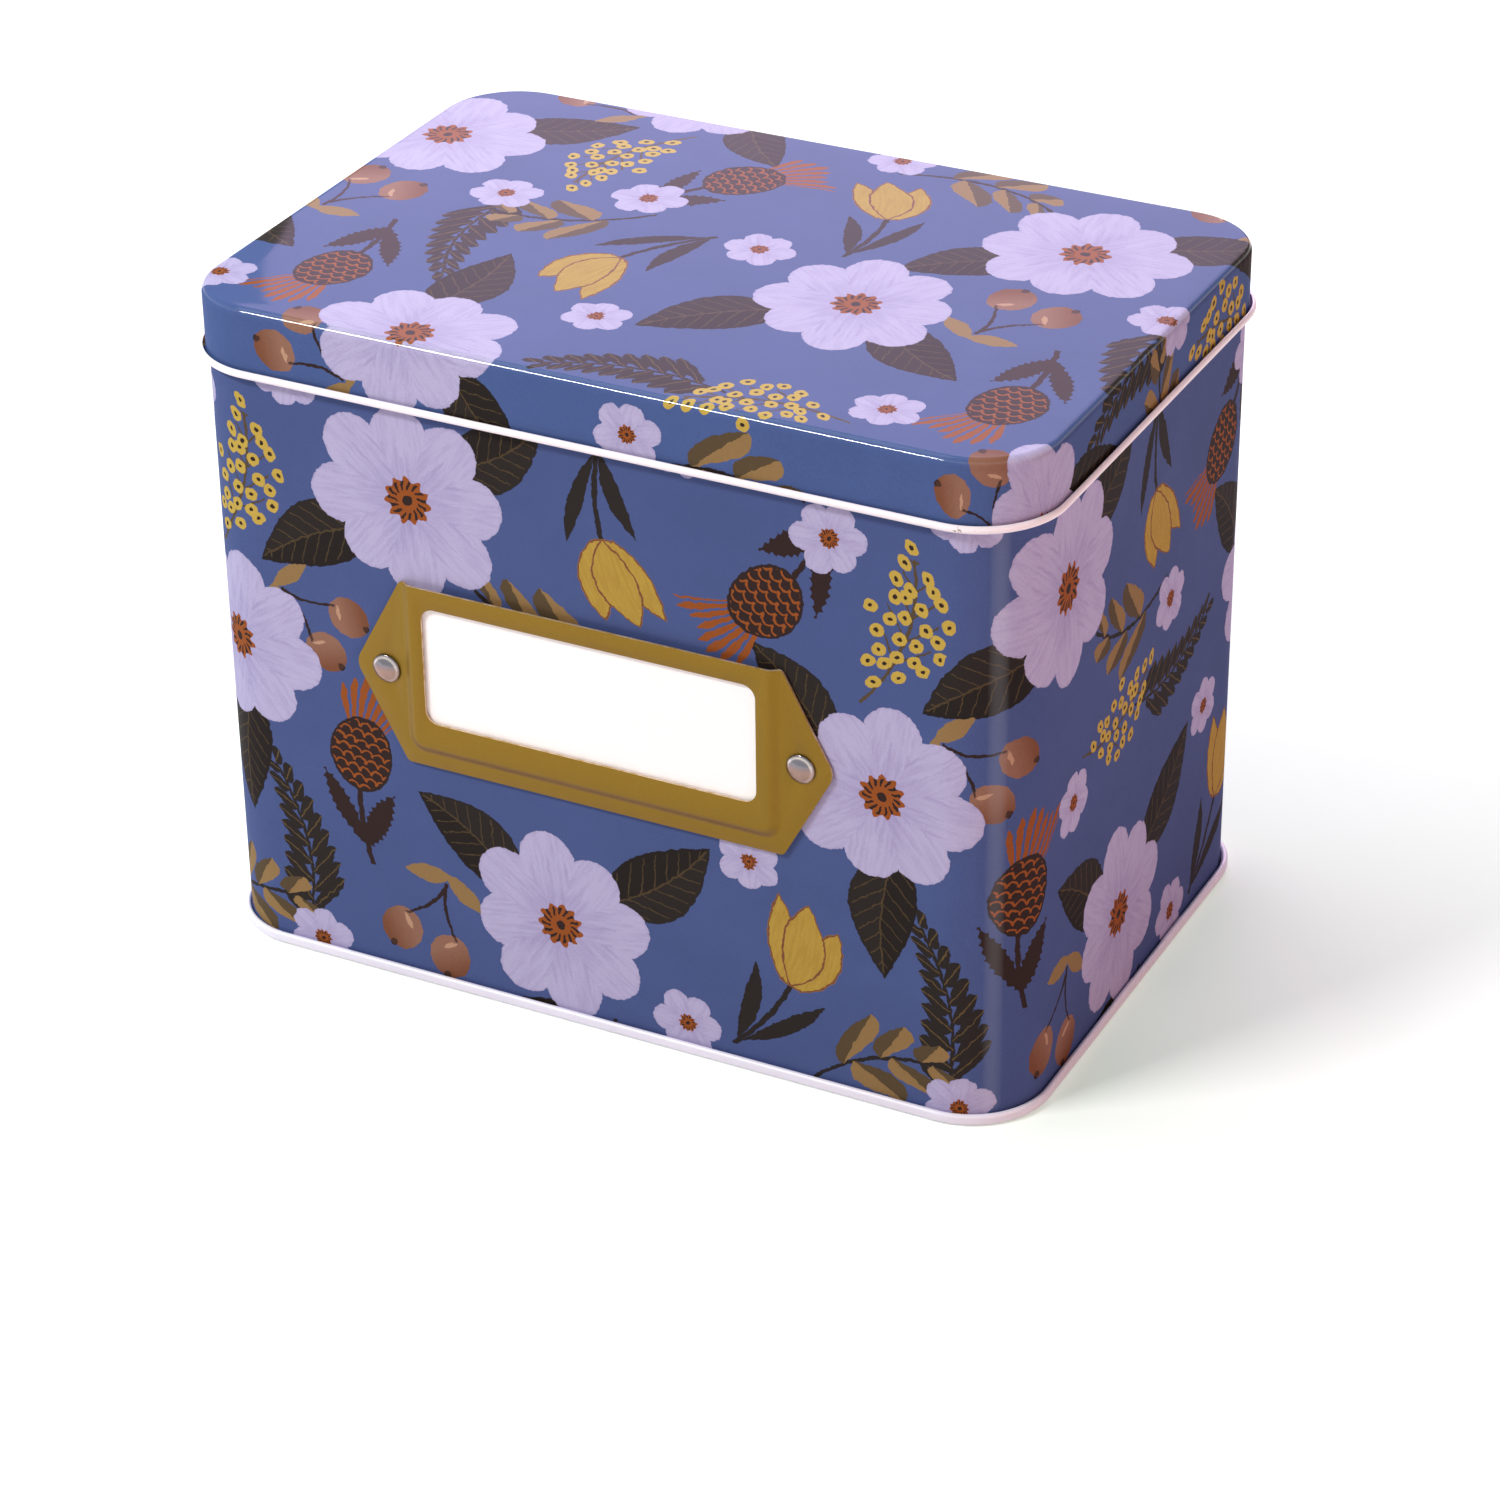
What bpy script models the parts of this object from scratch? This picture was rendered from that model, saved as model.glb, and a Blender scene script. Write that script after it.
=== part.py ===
"""Rectangular slip-lid storage tin with a riveted label holder.

Metres, +Z up. The origin is in the middle of the surface that the tin stands on, the label holder faces -Y and
+X is to the right of someone who reads the label. Each sheet-metal piece is modelled as a middle surface that
gets the sheet's thickness: the wall, base and lid are sections swept round the rounded rectangle of the body,
and the label holder is a flat blank that is pressed to shape.
"""

from math import atan2, cos, hypot, pi, sin, tan

import bmesh
import bpy
from mathutils import Matrix, Vector
from mathutils.geometry import delaunay_2d_cdt

# Driving dimensions: the tin as a whole
BODY_WIDTH = 0.165
BODY_DEPTH = 0.112
TIN_HEIGHT = 0.132
CORNER_RADIUS = 0.0145
SHEET = 0.00025
SEAT_GAP = 0.0003

# Space between two leaves of a folded seam
LEAF_GAP = 0.00025

# Lid
LID_CLEARANCE = 0.00035
LID_BEND_RADIUS = 0.0016
SKIRT_DEPTH = 0.0131
LID_CURL_DIAMETER = 0.00145
LID_FLARE = 0.00008
LID_FLARE_HEIGHT = 0.0008

# Body wall
RIM_CURL_DIAMETER = 0.0018
LOCK_SEAM_X = 0.0
LOCK_SEAM_LAP = 0.0020
LOCK_SEAM_BEND = 0.00035
STEP_DOWN_ANGLE = 1.3
NOTCH_MARGIN = 0.0006

# Base seam and base panel
SEAM_HEIGHT = 0.0023
SEAM_FLAT = 0.0004
BASE_RECESS = 0.0026
BASE_BEND_RADIUS = 0.0008

# Label holder: its length is between the points that the round tips are drawn from
HOLDER_LENGTH = 0.0966
HOLDER_EDGE_LENGTH = 0.0765
HOLDER_HEIGHT = 0.0371
HOLDER_MIDDLE_Z = 0.0662
HOLDER_SHEET = 0.00045
HOLDER_TIP_RADIUS = 0.0038
HOLDER_CORNER_RADIUS = 0.0012
PANEL_WIDTH = 0.0761
PANEL_FLOOR = 0.0031
PANEL_CORNER_RADIUS = 0.0014
PANEL_RAISE = 0.0013
STEP_WIDTH = 0.0017
WINDOW_WIDTH = 0.0670
WINDOW_HEIGHT = 0.0236
WINDOW_TOP_MARGIN = 0.0038
WINDOW_RADIUS = 0.0026

# Rivets
RIVET_SPACING = 0.0836
RIVET_HEAD_DIAMETER = 0.0056
RIVET_DOME_HEIGHT = 0.0010
RIVET_HEAD_EDGE = 0.00025
RIVET_SHANK_DIAMETER = 0.0024
RIVET_TAIL_DIAMETER = 0.0040
RIVET_TAIL_HEIGHT = 0.0007
RIVET_DIMPLE_DIAMETER = 0.0012
RIVET_DIMPLE_DEPTH = 0.0004

# Label card
CARD_THICKNESS = 0.00035
CARD_SIDE_PLAY = 0.0004
CARD_TOP_DROP = 0.0012
CARD_CORNER_RADIUS = 0.0015

# How finely round shapes are divided, and the angle above which an edge stays sharp
CORNER_STEPS = 8
CURL_STEPS = 10
BEND_STEPS = 4
RIVET_STEPS = 20
SHARP_ANGLE = 0.6

# How far a cutter or a guide line runs past what it cuts, and the distance within which two points are one
OVERRUN = 0.002
MERGE_DISTANCE = 1e-7

# Places that several pieces share
HALF_SHEET = SHEET / 2
LEAF_PITCH = SHEET + LEAF_GAP
FRONT_Y = -BODY_DEPTH / 2
REAR_Y = BODY_DEPTH / 2
WALL_MIDDLE = -HALF_SHEET
RIM_TOP_Z = TIN_HEIGHT - SHEET - SEAT_GAP
HOLDER_BACK_Y = FRONT_Y - SEAT_GAP
HOLDER_FRONT_Y = HOLDER_BACK_Y - HOLDER_SHEET
HOLDER_TOP_Z = HOLDER_MIDDLE_Z + HOLDER_HEIGHT / 2
HOLDER_LOW_Z = HOLDER_MIDDLE_Z - HOLDER_HEIGHT / 2
STEP_LOW_Z = HOLDER_LOW_Z + PANEL_FLOOR

# The base seam in section: folds lie a leaf pitch apart, round two bends with a flat run between them
SEAM_LOW_Z = HALF_SHEET
SEAM_INNER_BEND = (2 * LEAF_PITCH - SEAM_FLAT) / 2
SEAM_OUTER_BEND = SEAM_INNER_BEND + LEAF_PITCH
SEAM_BEND_Z = SEAM_LOW_Z + SEAM_OUTER_BEND
SEAM_IN = WALL_MIDDLE + SEAM_INNER_BEND
SEAM_OUT = SEAM_IN + SEAM_FLAT
BASE_PANEL_Z = SEAM_LOW_Z + BASE_RECESS


def clear_scene():
    """Remove what the file opened with."""
    for obj in list(bpy.data.objects):
        bpy.data.objects.remove(obj, do_unlink=True)


def make_material(name, colour, roughness, metallic):
    """A Principled BSDF with one piece's own colour and finish."""
    material = bpy.data.materials.new(name)
    material.use_nodes = True
    shader = material.node_tree.nodes["Principled BSDF"]
    shader.inputs["Base Color"].default_value = (*colour, 1.0)
    shader.inputs["Roughness"].default_value = roughness
    shader.inputs["Metallic"].default_value = metallic
    return material


def add_object(name, bm, material):
    """Link a finished bmesh as a named object, shaded smooth except at its sharp edges."""
    bmesh.ops.recalc_face_normals(bm, faces=bm.faces)
    mesh = bpy.data.meshes.new(name)
    bm.to_mesh(mesh)
    bm.free()
    mesh.shade_smooth()
    mesh.set_sharp_from_angle(angle=SHARP_ANGLE)
    obj = bpy.data.objects.new(name, mesh)
    bpy.context.scene.collection.objects.link(obj)
    if material:
        mesh.materials.append(material)
    return obj


def thicken(obj, thickness):
    """Give a middle surface its thickness, half to each side."""
    solidify = obj.modifiers.new("sheet", "SOLIDIFY")
    solidify.thickness = thickness
    solidify.offset = 0.0
    solidify.use_even_offset = True


def cut(obj, cutters):
    """Subtract each cutter from an object."""
    for cutter in cutters:
        boolean = obj.modifiers.new(cutter.name, "BOOLEAN")
        boolean.operation = "DIFFERENCE"
        boolean.solver = "EXACT"
        boolean.object = cutter


def slide_parent(name, obj, place):
    """Hang a moving piece on an empty that stands on its joint's axis."""
    empty = bpy.data.objects.new(name, None)
    empty.location = place
    bpy.context.scene.collection.objects.link(empty)
    obj.parent = empty
    obj.matrix_parent_inverse = Matrix.Translation(place).inverted()


def arc(centre, radius, start, end, steps):
    """Points on an arc from the start angle to the end angle, both ends included."""
    angles = [start + (end - start) * i / steps for i in range(steps + 1)]
    return [(centre[0] + radius * cos(a), centre[1] + radius * sin(a)) for a in angles]


def rounded_outline(corners):
    """A closed outline through corners given as (x, z, radius), each rounded by its own radius."""
    points = []
    for i, (x, z, radius) in enumerate(corners):
        here = Vector((x, z))
        before = (Vector(corners[i - 1][:2]) - here).normalized()
        after = (Vector(corners[(i + 1) % len(corners)][:2]) - here).normalized()
        half_angle = before.angle(after) / 2
        centre = here + (before + after).normalized() * radius / sin(half_angle)
        reach = radius / tan(half_angle)
        first = here + before * reach - centre
        last = here + after * reach - centre
        start = atan2(first.y, first.x)
        turn = (atan2(last.y, last.x) - start + pi) % (2 * pi) - pi
        points += arc(centre, radius, start, start + turn, BEND_STEPS)
    return points


def body_ring(outwards, height):
    """The body's rounded rectangle, set outwards by a distance and at a height.

    It runs from the rear wall's left end by way of -X and the front to the rear wall's right end."""
    middle_x = BODY_WIDTH / 2 - CORNER_RADIUS
    middle_y = BODY_DEPTH / 2 - CORNER_RADIUS
    radius = CORNER_RADIUS + outwards
    points = []
    for quarter, (side_x, side_y) in enumerate(((-1, 1), (-1, -1), (1, -1), (1, 1)), start=1):
        start = quarter * pi / 2
        corner = arc((side_x * middle_x, side_y * middle_y), radius, start, start + pi / 2, CORNER_STEPS)
        points += [Vector((x, y, height)) for x, y in corner]
    return points


def swept_tray(name, section, material):
    """A pressed tray: a section of (outwards, height) points swept round, its first ring closed by a flat panel."""
    bm = bmesh.new()
    rings = [[bm.verts.new(point) for point in body_ring(*place)] for place in section]
    bm.faces.new(rings[0])
    for upper, lower in zip(rings, rings[1:]):
        for i in range(len(upper)):
            bm.faces.new((upper[i - 1], upper[i], lower[i], lower[i - 1]))
    tray = add_object(name, bm, material)
    thicken(tray, SHEET)
    return tray


def build_lid(material):
    """Drawn lid: flat top, bend, skirt with a slight flare, and an outward curl that hides the cut edge."""
    skirt = LID_CLEARANCE + HALF_SHEET
    bend = LID_BEND_RADIUS - HALF_SHEET
    section = arc((skirt - bend, TIN_HEIGHT - HALF_SHEET - bend), bend, pi / 2, 0, BEND_STEPS)
    curl = (LID_CURL_DIAMETER - SHEET) / 2
    curl_z = TIN_HEIGHT - SKIRT_DEPTH + LID_CURL_DIAMETER / 2
    section.append((skirt, curl_z + LID_FLARE_HEIGHT))
    section += arc((skirt + LID_FLARE + curl, curl_z), curl, pi, 5 * pi / 2, CURL_STEPS)
    return swept_tray("lid", section, material)


def build_base(material):
    """Base pressed as a shallow tray: recessed panel, a wall inside the body's, and an edge rolled round its hook."""
    inside = WALL_MIDDLE - LEAF_PITCH
    bend_centre = (inside - BASE_BEND_RADIUS, BASE_PANEL_Z - BASE_BEND_RADIUS)
    section = arc(bend_centre, BASE_BEND_RADIUS, pi / 2, 0, BEND_STEPS)
    section += arc((SEAM_IN, SEAM_BEND_Z), SEAM_OUTER_BEND, pi, 3 * pi / 2, BEND_STEPS)
    section += arc((SEAM_OUT, SEAM_BEND_Z), SEAM_OUTER_BEND, 3 * pi / 2, 2 * pi, BEND_STEPS)
    outside = SEAM_OUT + SEAM_OUTER_BEND
    turn_centre = (outside - LEAF_PITCH, SEAM_HEIGHT - HALF_SHEET - LEAF_PITCH)
    section += arc(turn_centre, LEAF_PITCH, 0, pi, 2 * BEND_STEPS)
    section.append((outside - 2 * LEAF_PITCH, SEAM_BEND_Z))
    return swept_tray("base_panel", section, material)


def wall_section():
    """Section of the wall, from the tip of its inward rim curl to the tip of the hook in the base seam.

    Also gives the numbers of the two points between which the lock seam's hooks stand."""
    curl = (RIM_CURL_DIAMETER - SHEET) / 2
    curl_z = RIM_TOP_Z - RIM_CURL_DIAMETER / 2
    section = arc((WALL_MIDDLE - curl, curl_z), curl, 3 * pi / 2, 0, CURL_STEPS)
    hooks_top = len(section)
    section.append((WALL_MIDDLE, curl_z - RIM_CURL_DIAMETER / 2 - NOTCH_MARGIN))
    section.append((WALL_MIDDLE, BASE_PANEL_Z + HALF_SHEET + NOTCH_MARGIN))
    section += arc((SEAM_IN, SEAM_BEND_Z), SEAM_INNER_BEND, pi, 3 * pi / 2, BEND_STEPS)
    section += arc((SEAM_OUT, SEAM_BEND_Z), SEAM_INNER_BEND, 3 * pi / 2, 2 * pi, BEND_STEPS)
    section.append((SEAM_OUT + SEAM_INNER_BEND, SEAM_HEIGHT - HALF_SHEET - LEAF_PITCH))
    return section, hooks_top


def lock_seam_plan():
    """Plan of the rear lock seam: the strip's two ends, each from where the plain wall stops to its tip.

    The left end folds back inwards. The right end steps down round that fold and folds back into it."""
    wall = REAR_Y - HALF_SHEET
    fold_x = LOCK_SEAM_X + LOCK_SEAM_LAP / 2
    turn_x = LOCK_SEAM_X - LOCK_SEAM_LAP / 2
    left = arc((fold_x, wall - LEAF_PITCH), LEAF_PITCH, pi / 2, -pi / 2, 2 * BEND_STEPS)
    left.append((turn_x + LEAF_PITCH, wall - 2 * LEAF_PITCH))

    around = 2 * LEAF_PITCH
    slope_drop = LEAF_PITCH + around * cos(STEP_DOWN_ANGLE) - LOCK_SEAM_BEND * (1 - cos(STEP_DOWN_ANGLE))
    slope_run = slope_drop / tan(STEP_DOWN_ANGLE)
    bend_x = fold_x + (around + LOCK_SEAM_BEND) * sin(STEP_DOWN_ANGLE) + slope_run
    bend_centre = (bend_x, wall - LOCK_SEAM_BEND)
    right = arc(bend_centre, LOCK_SEAM_BEND, pi / 2, pi / 2 + STEP_DOWN_ANGLE, BEND_STEPS)
    right += arc((fold_x, wall - LEAF_PITCH), around, STEP_DOWN_ANGLE - pi / 2, -pi / 2, BEND_STEPS)
    right += arc((turn_x, wall - 2 * LEAF_PITCH), LEAF_PITCH, -pi / 2, -3 * pi / 2, 2 * BEND_STEPS)
    right.append((fold_x - LEAF_PITCH / 2, wall - LEAF_PITCH))
    return left, right


def build_wall(material, cutters):
    """One strip wrapped round the body, column by column, with its two ends hooked together at the rear."""
    section, hooks_top = wall_section()
    left_end, right_end = lock_seam_plan()
    rings = [body_ring(*place) for place in section]
    columns = [list(column) for column in zip(*rings)]
    for end, place in ((left_end, 0), (right_end, len(columns) + 1)):
        columns.insert(place, [Vector((end[0][0], REAR_Y + out, height)) for out, height in section])

    bm = bmesh.new()
    columns = [[bm.verts.new(point) for point in column] for column in columns]
    for one, other in zip(columns, columns[1:]):
        for row in range(len(section) - 1):
            bm.faces.new((one[row], other[row], other[row + 1], one[row + 1]))
    for column, end in ((columns[0], left_end), (columns[-1], right_end)):
        upper, lower = column[hooks_top], column[hooks_top + 1]
        for x, y in end[1:]:
            next_upper = bm.verts.new((x, y, upper.co.z))
            next_lower = bm.verts.new((x, y, lower.co.z))
            bm.faces.new((upper, next_upper, next_lower, lower))
            upper, lower = next_upper, next_lower
    wall = add_object("body_wall", bm, material)
    thicken(wall, SHEET)
    cut(wall, cutters)
    return wall


def step_line(share):
    """A line down, along and up the step round the holder's raised panel, at a share of the step's width."""
    inset = share * STEP_WIDTH
    side = PANEL_WIDTH / 2 - inset
    radius = PANEL_CORNER_RADIUS + STEP_WIDTH - inset
    low = STEP_LOW_Z + inset + radius
    left = arc((radius - side, low), radius, pi, 3 * pi / 2, BEND_STEPS)
    right = arc((side - radius, low), radius, 3 * pi / 2, 2 * pi, BEND_STEPS)
    top = HOLDER_TOP_Z + OVERRUN
    return [(-side, top), *left, *right, (side, top)]


def pressed_depth(x, z):
    """How far a point of the blank is pressed forwards: nothing on the flange, the whole raise on the panel."""
    radius = PANEL_CORNER_RADIUS + STEP_WIDTH
    across = abs(x) - (PANEL_WIDTH / 2 - radius)
    down = STEP_LOW_Z + radius - z
    inside = radius - hypot(max(across, 0), max(down, 0)) - min(max(across, down), 0)
    share = min(max(inside / STEP_WIDTH, 0), 1)
    return PANEL_RAISE * (1 - cos(pi * share)) / 2


def holder_blank():
    """Outlines of the flat blank: its six-sided edge and its window."""
    tip = HOLDER_LENGTH / 2
    end = HOLDER_EDGE_LENGTH / 2
    edge = rounded_outline(
        (
            (-tip, HOLDER_MIDDLE_Z, HOLDER_TIP_RADIUS),
            (-end, HOLDER_LOW_Z, HOLDER_CORNER_RADIUS),
            (end, HOLDER_LOW_Z, HOLDER_CORNER_RADIUS),
            (tip, HOLDER_MIDDLE_Z, HOLDER_TIP_RADIUS),
            (end, HOLDER_TOP_Z, HOLDER_CORNER_RADIUS),
            (-end, HOLDER_TOP_Z, HOLDER_CORNER_RADIUS),
        )
    )
    side = WINDOW_WIDTH / 2
    top = HOLDER_TOP_Z - WINDOW_TOP_MARGIN
    low = top - WINDOW_HEIGHT
    window = rounded_outline([(x, z, WINDOW_RADIUS) for x, z in ((-side, low), (side, low), (side, top), (-side, top))])
    return edge, window


def is_inside(point, outline):
    """Whether a point lies inside a closed outline, by counting the edges to its right."""
    crossings = 0
    for (x0, z0), (x1, z1) in zip(outline, outline[1:] + outline[:1]):
        if (z0 > point.y) != (z1 > point.y) and point.x < x0 + (x1 - x0) * (point.y - z0) / (z1 - z0):
            crossings += 1
    return crossings % 2 == 1


def build_holder(material, cutters):
    """Stamped label holder: the blank is divided along its outlines and step lines, then pressed forwards."""
    edge, window = holder_blank()
    points, lines = [], []
    for outline in (edge, window):
        first = len(points)
        points += outline
        lines += [(first + i, first + (i + 1) % len(outline)) for i in range(len(outline))]
    for i in range(BEND_STEPS + 1):
        line = step_line(i / BEND_STEPS)
        first = len(points)
        points += line
        lines += [(first + k, first + k + 1) for k in range(len(line) - 1)]
    flat, _, triangles, *_ = delaunay_2d_cdt([Vector(point) for point in points], lines, [], 0, MERGE_DISTANCE)

    bm = bmesh.new()
    middle_y = HOLDER_BACK_Y - HOLDER_SHEET / 2
    verts = [bm.verts.new((x, middle_y - pressed_depth(x, z), z)) for x, z in flat]
    for triangle in triangles:
        middle = sum((flat[i] for i in triangle), Vector((0, 0))) / len(triangle)
        if is_inside(middle, edge) and not is_inside(middle, window):
            bm.faces.new([verts[i] for i in triangle])
    bmesh.ops.delete(bm, geom=[vert for vert in bm.verts if not vert.link_faces], context="VERTS")
    holder = add_object("label_holder", bm, material)
    thicken(holder, HOLDER_SHEET)
    cut(holder, cutters)
    return holder


def revolve(profile, centre):
    """A solid of (radius, y) points turned about the line through the centre along Y. Both ends lie on it."""
    bm = bmesh.new()
    verts = [bm.verts.new((centre[0] + radius, y, centre[1])) for radius, y in profile]
    edges = [bm.edges.new(pair) for pair in zip(verts, verts[1:])]
    axis_point = (centre[0], 0, centre[1])
    bmesh.ops.spin(bm, geom=verts + edges, cent=axis_point, axis=(0, 1, 0), angle=2 * pi, steps=RIVET_STEPS)
    bmesh.ops.remove_doubles(bm, verts=bm.verts, dist=MERGE_DISTANCE)
    return bm


def build_rivets(material):
    """Domed rivets through the holder's flange and the wall, their tubular tails rolled over inside."""
    seat_y = HOLDER_FRONT_Y - SEAT_GAP
    rim_y = seat_y - RIVET_HEAD_EDGE
    head = RIVET_HEAD_DIAMETER / 2
    ball = (head**2 + RIVET_DOME_HEIGHT**2) / (2 * RIVET_DOME_HEIGHT)
    ball_y = rim_y - RIVET_DOME_HEIGHT + ball
    spread = atan2(head, ball - RIVET_DOME_HEIGHT)
    dome = [(r, y) for r, y in arc((0, ball_y), ball, -pi / 2, -pi / 2 + spread, BEND_STEPS)]
    shank = RIVET_SHANK_DIAMETER / 2
    tail_y = FRONT_Y + SHEET + SEAT_GAP
    roll = RIVET_TAIL_HEIGHT / 2
    tail = arc((RIVET_TAIL_DIAMETER / 2 - roll, tail_y + roll), roll, -pi / 2, pi / 2, BEND_STEPS)
    dimple = RIVET_DIMPLE_DIAMETER / 2
    dimple_y = tail_y + RIVET_TAIL_HEIGHT - RIVET_DIMPLE_DEPTH
    end = [(2 * dimple, tail_y + RIVET_TAIL_HEIGHT), (dimple, dimple_y), (0, dimple_y)]
    profile = [(0, dome[0][1]), *dome[1:], (head, seat_y), (shank, seat_y), (shank, tail_y), *tail, *end]
    for side, name in ((-1, "rivet_left"), (1, "rivet_right")):
        bm = revolve(profile, (side * RIVET_SPACING / 2, HOLDER_MIDDLE_Z))
        add_object(name, bm, material)


def rivet_hole_cutters():
    """A cutter for each rivet, wider than its shank by the seat gap and long enough for holder and wall."""
    radius = RIVET_SHANK_DIAMETER / 2 + SEAT_GAP
    start, end = HOLDER_FRONT_Y - OVERRUN, FRONT_Y + OVERRUN
    cutters = []
    for side, name in ((-1, "hole_left"), (1, "hole_right")):
        profile = [(0, start), (radius, start), (radius, end), (0, end)]
        bm = revolve(profile, (side * RIVET_SPACING / 2, HOLDER_MIDDLE_Z))
        cutter = add_object(name, bm, None)
        cutter.hide_render = True
        cutter.display_type = "WIRE"
        cutters.append(cutter)
    return cutters


def build_card(material):
    """Blank card standing in the holder's pocket, on the step at the panel's floor."""
    side = PANEL_WIDTH / 2 - STEP_WIDTH - CARD_SIDE_PLAY
    low = STEP_LOW_Z + STEP_WIDTH + SEAT_GAP
    top = HOLDER_TOP_Z - CARD_TOP_DROP
    middle_y = (FRONT_Y + HOLDER_BACK_Y - PANEL_RAISE) / 2
    corners = [(x, z, CARD_CORNER_RADIUS) for x, z in ((-side, low), (side, low), (side, top), (-side, top))]
    bm = bmesh.new()
    bm.faces.new([bm.verts.new((x, middle_y, z)) for x, z in rounded_outline(corners)])
    card = add_object("label_card", bm, material)
    thicken(card, CARD_THICKNESS)
    slide_parent("card_slide", card, Vector((0, middle_y, low)))


def build_tin():
    """Every piece of the tin, each with its own material."""
    print_blue = make_material("printed_lacquer", (0.070, 0.105, 0.290), 0.35, 0.0)
    lid_blue = make_material("printed_lid_lacquer", (0.080, 0.120, 0.320), 0.35, 0.0)
    white = make_material("white_lacquer", (0.85, 0.83, 0.82), 0.35, 0.0)
    gold = make_material("gold_paint", (0.31, 0.20, 0.03), 0.42, 0.4)
    nickel = make_material("nickel_plate", (0.62, 0.60, 0.58), 0.25, 1.0)
    card_white = make_material("card_stock", (0.92, 0.92, 0.92), 0.8, 0.0)
    cutters = rivet_hole_cutters()
    build_wall(print_blue, cutters)
    build_base(white)
    lid = build_lid(lid_blue)
    slide_parent("lid_lift", lid, Vector((0, 0, RIM_TOP_Z)))
    build_holder(gold, cutters)
    build_rivets(nickel)
    build_card(card_white)


clear_scene()
build_tin()
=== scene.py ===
"""The finished look of a slip-lid storage tin, piece by piece, in the order in which it is put together."""

from functools import partialmethod
from math import atan2, cos, hypot, pi, radians, sin, tan

import bmesh
import bpy
from mathutils import Matrix, Vector
from mathutils.geometry import delaunay_2d_cdt


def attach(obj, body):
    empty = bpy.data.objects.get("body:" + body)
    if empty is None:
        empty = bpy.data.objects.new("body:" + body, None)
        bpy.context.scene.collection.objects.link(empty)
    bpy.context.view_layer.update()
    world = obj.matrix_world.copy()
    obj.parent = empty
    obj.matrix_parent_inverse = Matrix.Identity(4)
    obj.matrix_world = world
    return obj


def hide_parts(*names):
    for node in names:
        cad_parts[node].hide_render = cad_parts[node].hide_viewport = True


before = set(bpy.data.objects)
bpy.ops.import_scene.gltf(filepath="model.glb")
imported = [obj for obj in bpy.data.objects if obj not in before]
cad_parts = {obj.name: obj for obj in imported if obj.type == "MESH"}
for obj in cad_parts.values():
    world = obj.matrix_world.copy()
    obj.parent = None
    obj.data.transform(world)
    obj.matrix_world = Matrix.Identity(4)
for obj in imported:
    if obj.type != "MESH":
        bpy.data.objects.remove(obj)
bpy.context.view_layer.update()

# Body wall. One strip of tinplate, printed outside and lacquered white inside, wrapped to a rounded rectangle. Its
# ends are hooked together down the rear, its top edge is curled inwards and its foot is flanged into the base seam.
BODY_WIDTH = 0.165
BODY_DEPTH = 0.112
BODY_CORNER = 0.0145
TIN_HEIGHT = 0.132
SHEET = 0.00025
SEAT_GAP = 0.0003
LEAF = 0.0005
RIM_CURL = 0.0009 - SHEET / 2
RIM_TOP = TIN_HEIGHT - SHEET - SEAT_GAP
SEAM_FLAT = 0.0004
SEAM_TURN = LEAF - SEAM_FLAT / 2
SEAM_TOP = 0.0023
LOCK_LAP = 0.0020
LOCK_BEND = 0.00035
LOCK_SLOPE = 1.3
HOOKS_TOP = 0.1285
HOOKS_FOOT = 0.0036
CORNER_STEPS = 24
CURL_STEPS = 20
HOOK_STEPS = 12
FOLD_STEPS = 6
SLOPE_STEPS = 4
CUT_EDGE_ANGLE = 0.7


def arc(centre, radius, start, end, steps):
    """Points on an arc from one angle to another, both ends included."""
    angles = [start + (end - start) * i / steps for i in range(steps + 1)]
    return [(centre[0] + radius * cos(a), centre[1] + radius * sin(a)) for a in angles]


def lengths_along(points):
    """How far each point lies along the line through the points."""
    lengths = [0.0]
    for one, other in zip(points, points[1:]):
        lengths.append(lengths[-1] + (Vector(other) - Vector(one)).length)
    return lengths


def ring_round_body(outwards, height):
    """The body's rounded rectangle, from the rear's middle by way of -X, the front and +X, set outwards and up."""
    middle_x = BODY_WIDTH / 2 - BODY_CORNER
    middle_y = BODY_DEPTH / 2 - BODY_CORNER
    points = []
    for quarter, (side_x, side_y) in enumerate(((-1, 1), (-1, -1), (1, -1), (1, 1)), start=1):
        turn = arc((side_x * middle_x, side_y * middle_y), BODY_CORNER + outwards, 0, pi / 2, CORNER_STEPS)
        centre = Vector((side_x * middle_x, side_y * middle_y))
        for x, y in turn:
            point = Matrix.Rotation(quarter * pi / 2, 2) @ (Vector((x, y)) - centre) + centre
            points.append(Vector((point.x, point.y, height)))
    return points


def sheet(rows, places, closed):
    """A surface through rows of points, each with its place in the printed design, in metres, and those points.

    A closed one joins each row's ends and fills its first row."""
    bm = bmesh.new()
    print_map = bm.loops.layers.uv.new("Print")
    verts = [[bm.verts.new(point) for point in row] for row in rows]
    where = {vert: place for row, line in zip(verts, places) for vert, place in zip(row, line)}
    if closed:
        bm.faces.new(verts[0])
    for upper, lower in zip(verts, verts[1:]):
        for i in range(0 if closed else 1, len(upper)):
            bm.faces.new((upper[i - 1], lower[i - 1], lower[i], upper[i]))
    for face in bm.faces:
        for loop in face.loops:
            loop[print_map].uv = where[loop.vert]
    return bm, verts


def put_in_scene(name, data):
    """A mesh, a lamp or a camera as an object of the scene."""
    made = bpy.data.objects.new(name, data)
    bpy.context.scene.collection.objects.link(made)
    return made


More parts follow.
